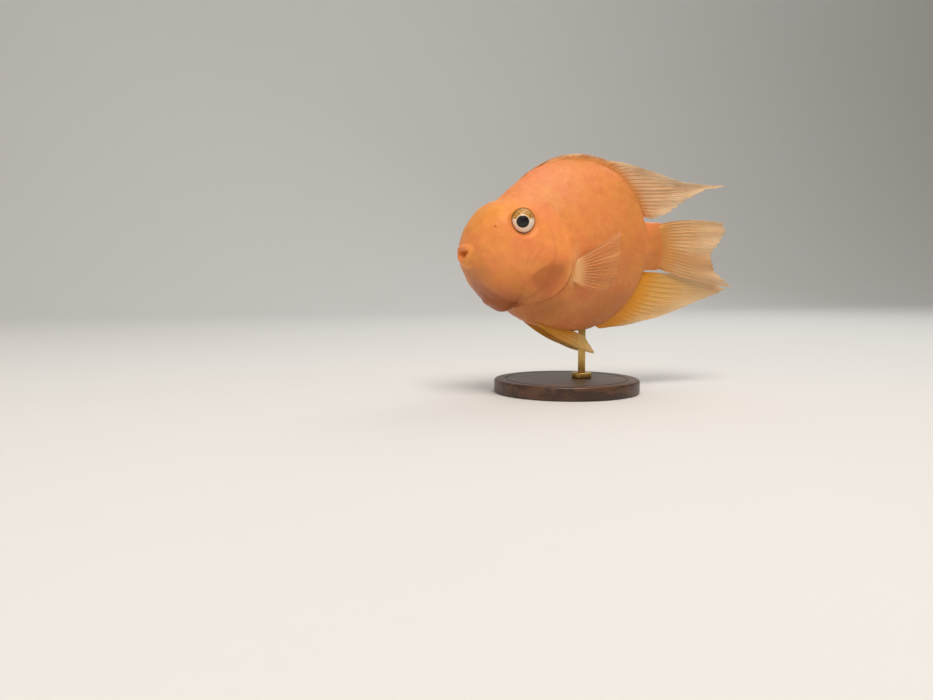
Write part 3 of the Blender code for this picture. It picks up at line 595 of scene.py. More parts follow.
def flesh_look():
    """Moist scaleless skin over living flesh: soft colour with depth, and a satin shine."""
    material, tree, shader, where = new_material("moist fish skin", Roughness=0.42, Specular_IOR_Level=0.25,
                                                 Subsurface_Weight=0.12, Subsurface_Scale=0.002, **FLESH)
    colour = markings(tree, where)
    # pigment grains about half a millimetre across give the skin its slightly dusty look
    grain = ranged(tree, noise_at(tree, where, 1900.0, 2.0), 0.55, 0.8, 0.0, 0.20)
    colour = mixed(tree, grain, colour, linear("#FFC890"))
    # colours of the head's forms; those of the folds, the gill groove, the eye's rim and the nostril are
    # painted shade
    for name, code, share in FORM_COLOURS:
        mask = ranged(tree, attribute(tree, name), 0.0, 1.0, 0.0, share)
        colour = mixed(tree, mask, colour, linear(code))
    tree.links.new(colour, shader.inputs["Base Color"])
    cells = add(tree, "TexVoronoi", {"Vector": where, "Scale": 620.0, "Randomness": 0.8},
                feature="SMOOTH_F1").outputs["Distance"]
    low = relief(tree, shader, cells, 0.32, 0.25)
    relief(tree, shader, noise_at(tree, where, 900.0, 3.0), 0.30, 0.2, over=low)
    return material


def scale_look():
    """Thin horny scales under clear mucus: the body's own colour, paler along each free edge."""
    material, tree, shader, where = new_material("small cycloid scales", Roughness=0.40, **FLESH,
                                                 Specular_IOR_Level=0.30, Subsurface_Weight=0.08,
                                                 Subsurface_Scale=0.0015)
    colour = markings(tree, where)
    edge = attribute(tree, "free_edge")
    root = ranged(tree, edge, 0.0, 0.6, 0.16, 0.0, soft=True)
    colour = mixed(tree, root, colour, linear("#C8622C"))
    rim = ranged(tree, edge, 0.75, 1.0, 0.0, 0.14, soft=True)
    colour = mixed(tree, rim, colour, linear("#FFD0A0"))
    own = ranged(tree, attribute(tree, "own_shade"), 0.0, 1.0, 0.0, 0.16)
    colour = mixed(tree, own, colour, linear("#D06030"))
    tree.links.new(colour, shader.inputs["Base Color"])
    # growth rings, drawn across each scale from its root
    rings = worked(tree, "MULTIPLY", attribute(tree, "from_root"), 2 * math.pi / SCALE_RING)
    relief(tree, shader, worked(tree, "SINE", rings), 0.06, 0.1)
    return material


def store(mesh, name, values):
    """Keeps one number for each vertex on the mesh."""
    layer = mesh.attributes.new(name, "FLOAT", "POINT")
    layer.data.foreach_set("value", np.asarray(values, np.float32).ravel())


def linked(name, data):
    """A new object in the scene with this mesh, lamp or lens."""
    obj = bpy.data.objects.new(name, data)
    bpy.context.scene.collection.objects.link(obj)
    return obj


def mesh_from(name, bm):
    """The bmesh as a mesh of its own."""
    mesh = bpy.data.meshes.new(name)
    bm.to_mesh(mesh)
    bm.free()
    return mesh


def verts_of(made):
    """The corners among what a bmesh operator made."""
    return [g for g in made["geom"] if isinstance(g, bmesh.types.BMVert)]


def finish_piece(name, bm, material, replaced=()):
    """Makes the bmesh an object of the fish that rides on its one body."""
    bmesh.ops.recalc_face_normals(bm, faces=bm.faces)
    mesh = mesh_from(name, bm)
    mesh.shade_smooth()
    obj = linked(name, mesh)
    mesh.materials.append(material)
    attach(obj, "root")
    if replaced:
        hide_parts(*replaced)
    return obj


SURFACE = {}


def surface():
    """The fish's surface, worked out once."""
    if "fish" not in SURFACE:
        SURFACE["fish"] = Surface(bpy.context.scene.fish_sizes.coat_depth / MM)
    return SURFACE["fish"]


def make_skin():
    """One skin from the back of the mouth to the end of the tail stalk, finer round the eyes and gills."""
    form = surface()
    rows = form.rows // FINE
    bm = bmesh.new()
    bmesh.ops.create_grid(bm, x_segments=rows, y_segments=COLUMNS, size=1.0)
    for vert in bm.verts:
        vert.co = ((vert.co.x + 1) / 2 * rows, (vert.co.y + 1) / 2 * COLUMNS, 0.0)
    detail = set()
    for face in bm.faces:
        middle = face.calc_center_median() * FINE
        if form.zone[int(round(middle.x)), int(round(middle.y))] > 0.35:
            detail.update(face.edges)
    bmesh.ops.subdivide_edges(bm, edges=list(detail), cuts=FINE - 1, use_grid_fill=True)
    spots = np.array([(v.co.x * FINE, v.co.y * FINE) for v in bm.verts])
    where = form.at(spots[:, 0], spots[:, 1])
    for vert, point in zip(bm.verts, placed(where)):
        vert.co = point
    marks = {"gill_line": form.gill, "fold_line": form.fold, "eye_rim": form.rim, "mouth": form.mouth,
             "nostril": form.nostril, "throat": form.throat, "bulge": form.bulge,
             "thin": form.thin}
    i, j = np.rint(spots).astype(int).T
    layers = {name: bm.verts.layers.float.new(name) for name in marks}
    for name, layer in layers.items():
        for vert, value in zip(bm.verts, marks[name][i, j]):
            vert[layer] = float(value)
    bmesh.ops.remove_doubles(bm, verts=bm.verts, dist=0.002 * MM)
    for row in (0, form.rows):
        end = placed(form.at(np.array([row]), np.array([0.0])))[0]
        ring = [v for v in bm.verts if v.is_boundary and (v.co - Vector(end)).length < 2 * MM]
        if ring:
            edges = {e for v in ring for e in v.link_edges if e.is_boundary}
            bmesh.ops.holes_fill(bm, edges=list(edges), sides=0)
    bmesh.ops.triangulate(bm, faces=[f for f in bm.faces if len(f.verts) > 4])
    finish_piece("skin", bm, flesh_look(),
                 ("head", "gill_cover_left", "gill_cover_right", "trunk", "tail_stalk"))


def scale_size(x):
    """How large the scales are at x against those of the shoulder: smaller to the nape and to the tail."""
    return 1.0 - 0.42 * eased((x - 2.0) / 42.0) - 0.15 * eased((-38.0 - x) / 16.0)


def scale_centres(form, sizes):
    """Where scales grow: rows along each flank, every second row half a step on."""
    length, height = sizes.scale_length / MM, sizes.scale_height / MM
    xs = [-58.0]
    while xs[-1] < STALK_X - 0.4:
        xs.append(xs[-1] + length * float(scale_size(xs[-1])) / 2.0)
    places = []
    for k, x in enumerate(xs):
        for up in (1, -1):
            reach = float(form.quarter_length(form.row_at(x), up)) - 0.5
            count = int(reach / (height * float(scale_size(x))))
            places += [(x, up * j) for j in range(0 if up > 0 else 1, count + 1) if (j + k) % 2 == 0]
    return np.array(places)


def make_scales(side, word):
    """The small overlapping scales of one flank, each a thin closed plate laid to the rear."""
    form, sizes = surface(), bpy.context.scene.fish_sizes
    x, line = scale_centres(form, sizes).T
    size = scale_size(x)
    arc = line * sizes.scale_height / MM * size
    spot = form.row_at(x), form.column_at(x, arc, side)
    rear = form.at_mark("rear", *spot)
    keep = rear < -1.6
    x, line, size, rear, high = x[keep], line[keep], size[keep], rear[keep], form.at(*spot)[keep, 2]
    grown = eased((-rear - 1.6) / (8.0 + 14.0 * eased((high - 2.0) / 12.0)))

    proto = bmesh.new()
    bmesh.ops.create_circle(proto, cap_ends=True, cap_tris=True, segments=12, radius=1.0)
    made = bmesh.ops.extrude_face_region(proto, geom=proto.faces[:], use_keep_orig=True)
    bmesh.ops.translate(proto, verts=verts_of(made), vec=(0, 0, 1))
    bmesh.ops.recalc_face_normals(proto, faces=proto.faces)
    unit = np.array([v.co[:] for v in proto.verts])
    plate = mesh_from("one_scale", proto)
    bm = bmesh.new()
    for _ in range(len(x)):
        bm.from_mesh(plate)
    bpy.data.meshes.remove(plate)

    rng = np.random.default_rng(7 if side > 0 else 8)
    own = rng.random(len(x))
    x = x + rng.uniform(-0.10, 0.10, len(x))
    half_long = sizes.scale_length / MM * 0.64 * size * (0.8 + 0.2 * grown) * rng.uniform(0.93, 1.07, len(x))
    half_high = sizes.scale_height / MM * 1.10 * size * (0.8 + 0.2 * grown)
    a, b, top = unit.T
    back = (a + 1) / 2
    # the plate is widest behind its middle and narrows to its root
    across = b * (0.80 + 0.20 * back)
    px = x[:, None] + half_long[:, None] * (a + 0.35)
    arc = line[:, None] * sizes.scale_height / MM * scale_size(px) + half_high[:, None] * across
    rows, columns = form.row_at(px), form.column_at(px, arc, side)
    lift = sizes.scale_lift / MM * ((0.7 + 0.6 * own) * size * (0.3 + 0.7 * grown))[:, None]
    height = lift * back ** 1.3 + 0.01 * (1 - a * a - b * b) - 0.05 * (1 - top)
    points = form.at(rows, columns) + form.at(rows, columns, "normal") * height[..., None]
    for vert, point in zip(bm.verts, placed(points.reshape(-1, 3))):
        vert.co = point
    mesh = finish_piece("scales_" + word, bm, scale_look()).data
    mesh.set_sharp_from_angle(angle=math.radians(40))
    free = np.clip(back * 0.6 + 0.4 * np.hypot(a, b) * (a > -0.3), 0, 1)
    store(mesh, "free_edge", 0.65 + (free - 0.65) * grown[:, None])
    store(mesh, "from_root", (a + 1) * half_long[:, None])
    store(mesh, "own_shade", np.repeat(own, len(a)))
    # each scale's patch of the unwrap lies where its root grows, by row and column of the skin's grid
    column = form.column_at(x, line * sizes.scale_height / MM * size, side)
    root = np.stack((form.row_at(x) / form.rows, column / form.columns), axis=-1)
    patch = root[:, None, :] * 0.99 + 0.005 + np.stack((a, b), axis=-1)[None] * PATCH / 2
    corners = np.empty(len(mesh.loops), np.int32)
    mesh.loops.foreach_get("vertex_index", corners)
    spots = patch.reshape(-1, 2)[corners].astype(np.float32)
    mesh.uv_layers.new(name="OFBake").data.foreach_set("uv", spots.ravel())


def eye_look():
    """A wet fish eye: black pupil, pearly iris with a gold crescent above, and a dark outer line."""
    material, tree, shader, where = new_material("wet fish eye", Roughness=0.4, Specular_IOR_Level=0.3,
                                                 Coat_Weight=0.35, Coat_Roughness=0.04)
    out, up, rim = (attribute(tree, name) for name in ("from_middle", "upward", "from_axis"))
    fleck = noise_at(tree, where, 1300.0, 4.0, 0.7)
    cloud = noise_at(tree, where, 420.0, 3.0)
    iris = tuple(bpy.context.scene.fish_colours.iris)
    pearl = mixed(tree, ranged(tree, fleck, 0.42, 0.66, 0.0, 0.6), iris, linear("#DCC4AC"))
    pearl = mixed(tree, ranged(tree, rim, 5.6, 6.5, 0.0, 0.4, soft=True), pearl, linear("#DCB484"))
    gold = mixed(tree, ranged(tree, fleck, 0.44, 0.60), linear("#D8A24A"), linear("#7A5222"))
    high = worked(tree, "ADD", up, ranged(tree, cloud, 0.3, 0.7, -0.2, 0.2))
    crescent = ranged(tree, high, 0.16, 0.44, soft=True)
    band = ranged(tree, out, PUPIL + 0.1, PUPIL + 0.9, soft=True)
    colour = mixed(tree, worked(tree, "MULTIPLY", crescent, band), pearl, gold)
    # a bronze ring, the pupil, and the dark line at the eye's edge
    for value, low, high, share, code in ((out, PUPIL + 0.45, PUPIL + 0.1, 0.7, "#B58A58"),
                                          (out, PUPIL + 0.12, PUPIL - 0.1, 1.0, "#0A0504"),
                                          (rim, 6.45, 6.75, 0.75, "#4A2A16")):
        colour = mixed(tree, ranged(tree, value, low, high, 0.0, share, soft=True), colour, linear(code))
    tree.links.new(colour, shader.inputs["Base Color"])
    relief(tree, shader, fleck, 0.2, 0.15)
    return material


def make_eye(side, word):
    """One eyeball, its clear front a little fuller over the pupil."""
    bm = bmesh.new()
    bmesh.ops.create_uvsphere(bm, u_segments=72, v_segments=44, radius=EYE_RADIUS)
    axis, look = Vector(eye_axis(side)), Vector(eye_axis(side, LOOK_FORWARD, LOOK_UP))
    up = (Vector((0, 0, 1)) - look * look.z).normalized()
    beside = up.cross(look)
    turn = Matrix((beside, up, look)).transposed()
    centre = Vector((EYE_AT[0], side * EYE_AT[1], EYE_AT[2]))
    marks = {"from_middle": [], "upward": [], "from_axis": []}
    for vert in bm.verts:
        wide, tall = vert.co.x, vert.co.y
        away = math.hypot(wide, tall)
        if vert.co.z > 0:
            vert.co *= 1.0 + 0.028 * bump(away, 3.6) - 0.012 * bump(away - 5.6, 0.9)
            marks["from_middle"].append(math.hypot(wide / PUPIL_WIDE, tall * PUPIL_WIDE))
        else:
            marks["from_middle"].append(2 * EYE_RADIUS)
        marks["upward"].append(tall / max(away, 0.2))
        vert.co = turn @ vert.co
        marks["from_axis"].append((vert.co - axis * vert.co.dot(axis)).length)
        vert.co += centre
    for vert, point in zip(bm.verts, placed([v.co[:] for v in bm.verts])):
        vert.co = point
    eye = finish_piece("eyeball_" + word, bm, eye_look(), ("eye_" + word,))
    for name, values in marks.items():
        store(eye.data, name, values)


def even_curve(points, t):
    """The place at share t of a smooth curve through evenly spaced points."""
    shares = np.linspace(0.0, 1.0, len(points))
    return np.stack([along(list(zip(shares, places)), t) for places in zip(*points)], -1)


def fan_at(t, roots, tips, bows):
    """Root, tip and bow of the ray at share t of a fan."""
    return [even_curve(points, t) for points in (roots, tips, bows)]


def dorsal_rays(q):
    """The back fin's rays, by number: low spines first, then the soft pointed part with its thread."""
    i = np.minimum(q, SPINES - 1)
    x = SPINES_FROM + (SPINES_TO - SPINES_FROM) * i / (SPINES - 1)
    high = SPINE_HIGH * (0.35 + 0.65 * np.sin(math.pi / 2 * np.minimum(1.0, (i + 0.5) / 8.0)))
    high = high * (0.02 + 0.98 * eased(i / 3.4))
    root = np.stack((x, 0 * x, top_line(x)), -1)
    lean = np.stack((0.8 + 0 * i, 0 * i, 0.75 - 0.05 * (i - 5)), -1)
    spiny = [root, root + lean / np.linalg.norm(lean, axis=-1, keepdims=True) * high[..., None], 0 * root]
    t = np.clip((q - SPINES) / 12.0, 0.0, 1.0)
    soft = fan_at(t, ((6.5, 0, 46.2), (15.5, 0, 40.6), (23.5, 0, 33.0), (28.6, 0, 24.3), (31.6, 0, 17.0)),
                  ((17.5, 0, 49.4), (37, 0.5, 45.4), (58.5, 1, 39.8), (79, 2, 37), (64, 1.5, 28),
                   (51, 0.7, 20), (39, 0, 16)),
                  ((0, 0, 0.8), (0, 0.8, 1.0), (0, 1.2, -0.6), (0, 0.8, 0.6), (0, 0, 0.4)))
    reach = 0.8 * bump(t - 0.5, 0.018) + 0.2 * bump(t - 0.5, 0.05)
    soft[1] = soft[1] + reach[..., None] * np.array(THREAD)
    share = np.clip(q - (SPINES - 1), 0.0, 1.0)[..., None]
    return [a * (1 - share) + b * share for a, b in zip(spiny, soft)]


def anal_rays(q):
    """The anal fin's rays, by number from front to rear."""
    return fan_at(q / 12.0,
                  ((0.5, 0, -48.0), (11.0, 0, -43.2), (20.5, 0, -35.4), (27.5, 0, -26.2), (33.0, 0, -15.9)),
                  ((4.5, 0, -49.6), (19, 0.3, -48.3), (37, 0.8, -45.4), (55, 1.3, -40.6), (74, 1.9, -34),
                   (94.0, 3, -26.2), (61, 1.5, -18.2)),
                  ((0, 0, -0.4), (0, 0.4, -1.2), (0, 0.8, -2.2), (0, 1, -2.0), (0, 0, 0.5)))


def caudal_rays(q):
    """The tail fin's rays, by number from top to bottom."""
    return fan_at(q / 13.0,
                  ((44.0, 0, 13.2), (45.6, 0, 6.5), (46.4, 0, -0.5), (45.6, 0, -7.5), (44.0, 0, -14.2)),
                  ((95.6, 4, 14.4), (94, 3, 7), (83.8, 1, -4.5), (85, -1, -15.8), (97.6, -2, -25.8)),
                  ((0, 1.5, 2.4), (0, 1, 1.0), (0, 0, 0), (0, -1, -0.6), (0, 0, -1.6)))


def pectoral_rays(q):
    """The right side fin's rays, by number from top to bottom."""
    return fan_at(q / 11.0, ((-25.2, 25.6, -9.5), (-24.6, 25.6, -15.5), (-25.2, 24.8, -22.0)),
                  ((-1.0, 33.0, 6.8), (-1.5, 35.0, -3.5), (-3.0, 35.0, -13.0), (-5.5, 33.0, -21.5),
                   (-10.5, 30.5, -28.0)),
                  ((0, 1.2, 0.8), (0, 1.6, 0), (0, 1.2, -0.8)))


def pelvic_rays(q):
    """The right belly fin's rays, by number from its spine to the inside."""
    return fan_at(q / 6.0,
                  ((-40.0, 7.6, -47.0), (-34.0, 7.2, -48.4), (-26.0, 6.0, -49.6), (-18.0, 4.6, -50.2)),
                  ((-7.5, 9.6, -62.0), (-4.5, 9.0, -63.8), (-7.0, 8.0, -57.5), (-10.5, 6.5, -53.2)),
                  ((0, 0.6, -2.2), (0, 0.6, -1.0), (0, 0.3, -0.3), (0, 0, 0)))


# What differs from fin to fin. Its form: the number of the last ray, where real rays stand, the share of a
# ray's length where it branches, the ridge's height in mm, the number of the last spine, how much the root is
# thickened in mm, the least width of a ray as a share of the step to the next, the depth of the margin's
# notches as a share of a ray, the columns and rows of the sheet, and the seed of its random draws. Its look:
# colours of flesh, membrane, ray and tip, how opaque the membrane is, how far in mm the flesh's colour runs
# out, and the painted shade of the fold between two lobes as its ray number, reach and strength
FINS = {
    "dorsal_fin": {"rays": dorsal_rays, "last": 25.0, "branch": 0.30, "ridge": 0.75,
                   "spines": 12.5, "root": 1.9,
                   "real": np.concatenate((np.arange(13.0), np.linspace(13, 25, 17))), "broad": 0.0,
                   "frill": 0.040, "grid": (460, 44), "seed": 3, "name": "back fin membrane",
                   "tints": ("#CE8240", "#ECC094", "#C08A54", "#F4D8B0"), "opaque": 0.84, "flesh_out": 10.0},
    "anal_fin": {"rays": anal_rays, "last": 12.0, "branch": 0.24, "ridge": 0.7, "spines": -1.0, "root": 1.9,
                 "real": np.linspace(0, 12, 18), "broad": 0.0,
                 "frill": 0.026, "grid": (260, 44), "seed": 5, "name": "anal fin membrane",
                 "tints": ("#EC9C1C", "#E8B460", "#D09840", "#ECD0A4"), "opaque": 0.90, "flesh_out": 17.0},
    "caudal_fin": {"rays": caudal_rays, "last": 13.0, "branch": 0.28, "ridge": 0.6,
                   "spines": -1.0, "root": 4.2,
                   "real": np.linspace(0, 13, 18), "broad": 0.0,
                   "frill": 0.044, "grid": (290, 48), "seed": 7, "name": "tail fin membrane",
                   "tints": ("#D4924C", "#E4B47C", "#BC8448", "#EED0A6"), "opaque": 0.88, "flesh_out": 13.0,
                   "fold": (8.6, 2.4, 0.55)},
    "pectoral_fin": {"rays": pectoral_rays, "last": 11.0, "branch": 2.0, "ridge": 0.14,
                     "spines": -1.0, "root": 1.5,
                     "real": np.linspace(0, 11, 14), "broad": 0.17,
                     "frill": 0.018, "grid": (200, 32), "seed": 9, "name": "side fin membrane",
                     "tints": ("#E4AE74", "#C67C4A", "#DA965E", "#D28E56"), "opaque": 0.36, "flesh_out": 6.5},
    "pelvic_fin": {"rays": pelvic_rays, "last": 6.0, "branch": 0.36, "ridge": 0.7,
                   "spines": -1.0, "root": 1.9,
                   "real": np.linspace(0, 6, 8), "broad": 0.0,
                   "frill": 0.030, "grid": (100, 36), "seed": 11, "name": "belly fin membrane",
                   "tints": ("#D08C30", "#DC9C34", "#B87C2C", "#F4D890"), "opaque": 0.92, "flesh_out": 5.0},
}
# How deep a fin's sheet is sunk in the body, and the most that its thickness can be
SUNK, THICKEST = 3.0, 6.0


def fin_form(fin):
    """Points, thickness in millimetres and marks of one fin's sheet, by column and row."""
    last, real, frill, (columns, rows) = fin["last"], fin["real"], fin["frill"], fin["grid"]
    rng = np.random.default_rng(fin["seed"])
    q = np.linspace(0.0, last, columns + 1)[:, None]
    root, tip, bow = fin["rays"](q[:, 0])
    length = np.linalg.norm(tip - root, axis=1)[:, None]
    k = np.clip(np.searchsorted(real, q[:, 0], side="right") - 1, 0, len(real) - 2)
    phase = ((q[:, 0] - real[k]) / (real[k + 1] - real[k]))[:, None]
    depth = np.interp(q[:, 0], real, rng.uniform(0.6, 1.4, len(real)))[:, None]
    spiny = (q <= fin["spines"]) * 1.0
    notch = np.sin(math.pi * phase) ** 1.3 * depth * frill * (1.0 - 0.65 * spiny)
    torn = rng.normal(size=len(real) * 3)
    ragged = 0.24 * frill * np.interp(q, np.linspace(0, last, len(torn)), torn) * (1.0 - 0.7 * spiny)
    reach = 1.0 - notch - np.abs(ragged)
    down = np.linspace(0.0, 1.0, rows + 1)[None, :]
    share = (reach + SUNK / length) * down - SUNK / length
    s = share[..., None]
    points = root[:, None] + (tip - root)[:, None] * s + bow[:, None] * 4 * s * (1 - s)
    across = np.gradient(points, axis=0) / np.gradient(q, axis=0)[..., None]
    per_ray = np.linalg.norm(across, axis=2)
    normal = np.cross(across, np.gradient(points, axis=1))
    normal = normal / np.maximum(np.linalg.norm(normal, axis=2, keepdims=True), 1e-9)
    ripple = 0.5 * np.sin(q * 2.1 + 3.0 * share) + 0.35 * np.sin(q * 0.9 - 4.0 * share + fin["seed"])
    ripple = ripple * np.clip(share, 0, 1) ** 1.5
    points = points + normal * ripple[..., None]
    step = float(real[-1] - real[-2])
    out = share * length
    ridge = np.zeros(share.shape)
    for place in real:
        fork = 0.0 if place <= fin["spines"] else 1.0
        first = fork * 0.25 * step * eased((share - fin["branch"]) / 0.35)
        second = fork * 0.12 * step * eased((share - fin["branch"] - 0.3) / 0.3)
        for a in (-1, 1):
            for b in (-1, 1):
                away = (q - place - a * first - b * second) * per_ray
                width = np.maximum(0.42 - 0.24 * np.clip(share, 0, 1) * fork, fin["broad"] * step * per_ray)
                ridge = np.maximum(ridge, bump(away, width))
    # rays show little in the fleshy root and thin out to their tips
    ridge = ridge * (1.0 - 0.55 * np.clip(share, 0, 1)) * (0.35 + 0.65 * eased(out / 9.0))
    taper = 0.15 + 0.85 * eased(q / (0.10 * last)) * eased((last - q) / (0.06 * last))
    fleshy = fin["root"] * taper * np.exp(-np.maximum(out, 0.0) / (1.4 + 0.4 * fin["root"]))
    thick = 0.20 - 0.06 * np.clip(share, 0, 1) + fin["ridge"] * ridge + fleshy
    marks = {"ray": ridge, "share": share, "out": out, "number": q + 0 * share}
    return points, np.minimum(thick, THICKEST), marks


def fin_look(fin):
    """A living fin: a clear tinted membrane on horny rays, fleshy at its root."""
    flesh, membrane, ray, tip = (linear(code) for code in fin["tints"])
    material, tree, shader, where = new_material(fin["name"], Roughness=0.42, IOR=1.38, Coat_Weight=0.08,
                                                 Coat_Roughness=0.25, Subsurface_Weight=0.1,
                                                 Subsurface_Scale=0.001)
    ridge, share, out = (attribute(tree, n) for n in ("ray", "share", "out"))
    cloud = ranged(tree, noise_at(tree, where, 130.0, 4.0), 0.35, 0.65)
    film = mixed(tree, ranged(tree, share, 0.15, 0.95, soft=True), membrane, tip)
    film = mixed(tree, cloud, film, mixed(tree, 0.25, film, flesh))
    bone = mixed(tree, ranged(tree, share, 0.2, 1.0, 0.0, 0.5), ray, tip)
    # soft rays are built of short joints
    joint = worked(tree, "SINE", worked(tree, "MULTIPLY", out, 2 * math.pi / RAY_JOINT))
    bone = mixed(tree, ranged(tree, joint, 0.3, 1.0, 0.0, 0.08), bone, flesh)
    colour = mixed(tree, ranged(tree, ridge, 0.15, 0.6, soft=True), film, bone)
    # painted shade along the fold between the tail's two lobes
    if "fold" in fin:
        number, reach, strength = fin["fold"]
        away = worked(tree, "ABSOLUTE", worked(tree, "SUBTRACT", attribute(tree, "number"), number))
        colour = mixed(tree, ranged(tree, away, reach, 0.3, 0.0, strength, soft=True), colour, ray)
    colour = mixed(tree, ranged(tree, out, fin["flesh_out"], 0.3, soft=True), colour, flesh)
    tree.links.new(colour, shader.inputs["Base Color"])
    # the membrane is clearest at its margin, and rays are less clear than what lies between them
    web = ranged(tree, out, 12.0, 1.0, fin["opaque"], 1.0, soft=True)
    web = worked(tree, "MULTIPLY", web, ranged(tree, share, 0.4, 1.0, 1.0, 0.8))
    solid = worked(tree, "ADD", ranged(tree, ridge, 0.1, 0.6, 0.0, 0.34, soft=True), web, clamp=True)
    tree.links.new(solid, shader.inputs["Alpha"])
    relief(tree, shader, worked(tree, "MULTIPLY", joint, ridge), 0.12, 0.1)
    return material


def make_fin(node, fin, material, side=1):
    """One fin as a closed thin sheet, its rays raised alike on both faces."""
    points, thick, marks = fin_form(fin)
    points = points * np.array((1, side, 1))
    columns, rows = fin["grid"]
    bm = bmesh.new()
    bmesh.ops.create_grid(bm, x_segments=columns, y_segments=rows, size=1.0)
    spots = np.array([v.co[:2] for v in bm.verts])
    i = np.rint((spots[:, 0] + 1) / 2 * columns).astype(int)
    j = np.rint((spots[:, 1] + 1) / 2 * rows).astype(int)
    weights = bm.verts.layers.deform.verify()
    layers = [(bm.verts.layers.float.new(name), values[i, j]) for name, values in marks.items()]
    for k, (vert, point) in enumerate(zip(bm.verts, placed(points[i, j]))):
        vert.co = point
        vert[weights][0] = thick[i[k], j[k]] / THICKEST
        for layer, values in layers:
            vert[layer] = values[k]
    holder = linked("sheet", mesh_from("sheet", bm))
    holder.vertex_groups.new(name="thickness")
    solid = holder.modifiers.new("thickness", "SOLIDIFY")
    solid.thickness, solid.offset = THICKEST * MM, 0.0
    solid.vertex_group, solid.thickness_vertex_group = "thickness", 0.0
    bpy.context.view_layer.update()
    made = bpy.data.meshes.new_from_object(holder.evaluated_get(bpy.context.evaluated_depsgraph_get()))
    bpy.data.objects.remove(holder)
    bm = bmesh.new()
    bm.from_mesh(made)
    bpy.data.meshes.remove(made)
    finish_piece(node + "_rays", bm, material, (node,))


def make_fins():
    """All seven fins, the paired ones alike on both sides."""
    looks = {kind: fin_look(fin) for kind, fin in FINS.items()}
    for kind in ("dorsal_fin", "anal_fin", "caudal_fin"):
        make_fin(kind, FINS[kind], looks[kind])
    for side, word in ((1, "right"), (-1, "left")):
        for kind in ("pectoral_fin", "pelvic_fin"):
            make_fin(kind + "_" + word, FINS[kind], looks[kind], side)


def wood_look():
    """Oiled walnut, turned: long grain with dark pores and a low sheen."""
    material, tree, shader, where = new_material("oiled walnut", Roughness=0.42, IOR=1.5, Coat_Weight=0.15,
                                                 Coat_Roughness=0.3)
    long = add(tree, "Mapping", {"Vector": where, "Scale": (0.12, 1.0, 1.0)}).outputs[0]
    ring = worked(tree, "SINE", worked(tree, "MULTIPLY", noise_at(tree, long, 60.0, 3.0), 38.0))
    colour = mixed(tree, ranged(tree, ring, -1.0, 1.0), linear("#3B2417"), linear("#5C3A24"))
    pore = add(tree, "Mapping", {"Vector": where, "Scale": (0.05, 1.0, 1.0)}).outputs[0]
    pores = ranged(tree, noise_at(tree, pore, 1800.0, 2.0), 0.56, 0.7)
    colour = mixed(tree, pores, colour, linear("#22140C"))
    tree.links.new(colour, shader.inputs["Base Color"])
    relief(tree, shader, pores, 0.25, 0.15, sunk=True)
    return material


def brass_look():
    """Satin brass, brushed round on the lathe, a little darker where hands don't rub it."""
    material, tree, shader, where = new_material("satin brass", Metallic=1.0)
    turned = add(tree, "Mapping", {"Vector": where, "Scale": (1.0, 1.0, 40.0)}).outputs[0]
    lines = noise_at(tree, turned, 160.0, 3.0)
    dull = noise_at(tree, where, 90.0, 3.0)
    colour = mixed(tree, ranged(tree, dull, 0.35, 0.7, 0.0, 0.6), linear("#D2AE66"), linear("#A37F42"))
    tree.links.new(colour, shader.inputs["Base Color"])
    tree.links.new(ranged(tree, lines, 0.3, 0.7, 0.24, 0.4), shader.inputs["Roughness"])
    relief(tree, shader, lines, 0.15, 0.05)
    return material


def make_turned(node, material, low, high, soft, groove=None):
    """One turned piece of the stand, its rims rounded, with a fine groove on top where it has one."""
    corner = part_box(node)
    radius = (corner[1][0] - corner[0][0]) / 2
    bm = bmesh.new()
    bmesh.ops.create_cone(bm, cap_ends=True, segments=128, radius1=radius, radius2=radius, depth=high - low)
    middle = ((corner[0][0] + corner[1][0]) / 2, (corner[0][1] + corner[1][1]) / 2, (low + high) / 2)
    bmesh.ops.translate(bm, verts=bm.verts, vec=middle)
    rims = [e for e in bm.edges if abs(e.verts[0].co.z - e.verts[1].co.z) < 1e-6]
    bmesh.ops.bevel(bm, geom=rims, offset=soft, segments=5, profile=0.5, affect="EDGES", material=-1)
    if groove:
        for inward, depth in ((groove, 0.0), (0.35 * MM, -0.5 * MM), (0.6 * MM, 0.0), (0.35 * MM, 0.5 * MM)):
            top = max((f for f in bm.faces if len(f.verts) > 100), key=lambda f: f.calc_center_median().z)
            bmesh.ops.inset_region(bm, faces=[top], thickness=inward, depth=0.0, use_even_offset=True)
            bmesh.ops.translate(bm, verts=top.verts, vec=(0, 0, depth))
    obj = finish_piece(node.replace("stand_", "turned_"), bm, material, (node,))
    obj.data.set_sharp_from_angle(angle=math.radians(50))


def make_stand():
    """The walnut base, brass collar and brass rod that hold the fish."""
    brass = brass_look()
    base, collar, rod = (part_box(n) for n in ("stand_base", "stand_collar", "stand_rod"))
    base_top, collar_top = base[1][2], collar[1][2]
    make_turned("stand_base", wood_look(), base[0][2], base_top, 1.4 * MM, 5.0 * MM)
    make_turned("stand_collar", brass, base_top, collar_top, 0.6 * MM)
    make_turned("stand_rod", brass, collar_top - 0.5 * MM, rod[1][2] + 1.0 * MM, 0.2 * MM)


def paper_look():
    """Seamless background paper, matt, with the faint mottle of its fibres."""
    material, tree, shader, where = new_material("pale background paper", Roughness=0.9)
    mottle = ranged(tree, noise_at(tree, where, 6.0, 3.0), 0.3, 0.7, 0.0, 0.06)
    colour = mixed(tree, mottle, linear("#DCDEDF"), linear("#CFC8BC"))
    tree.links.new(colour, shader.inputs["Base Color"])
    return material


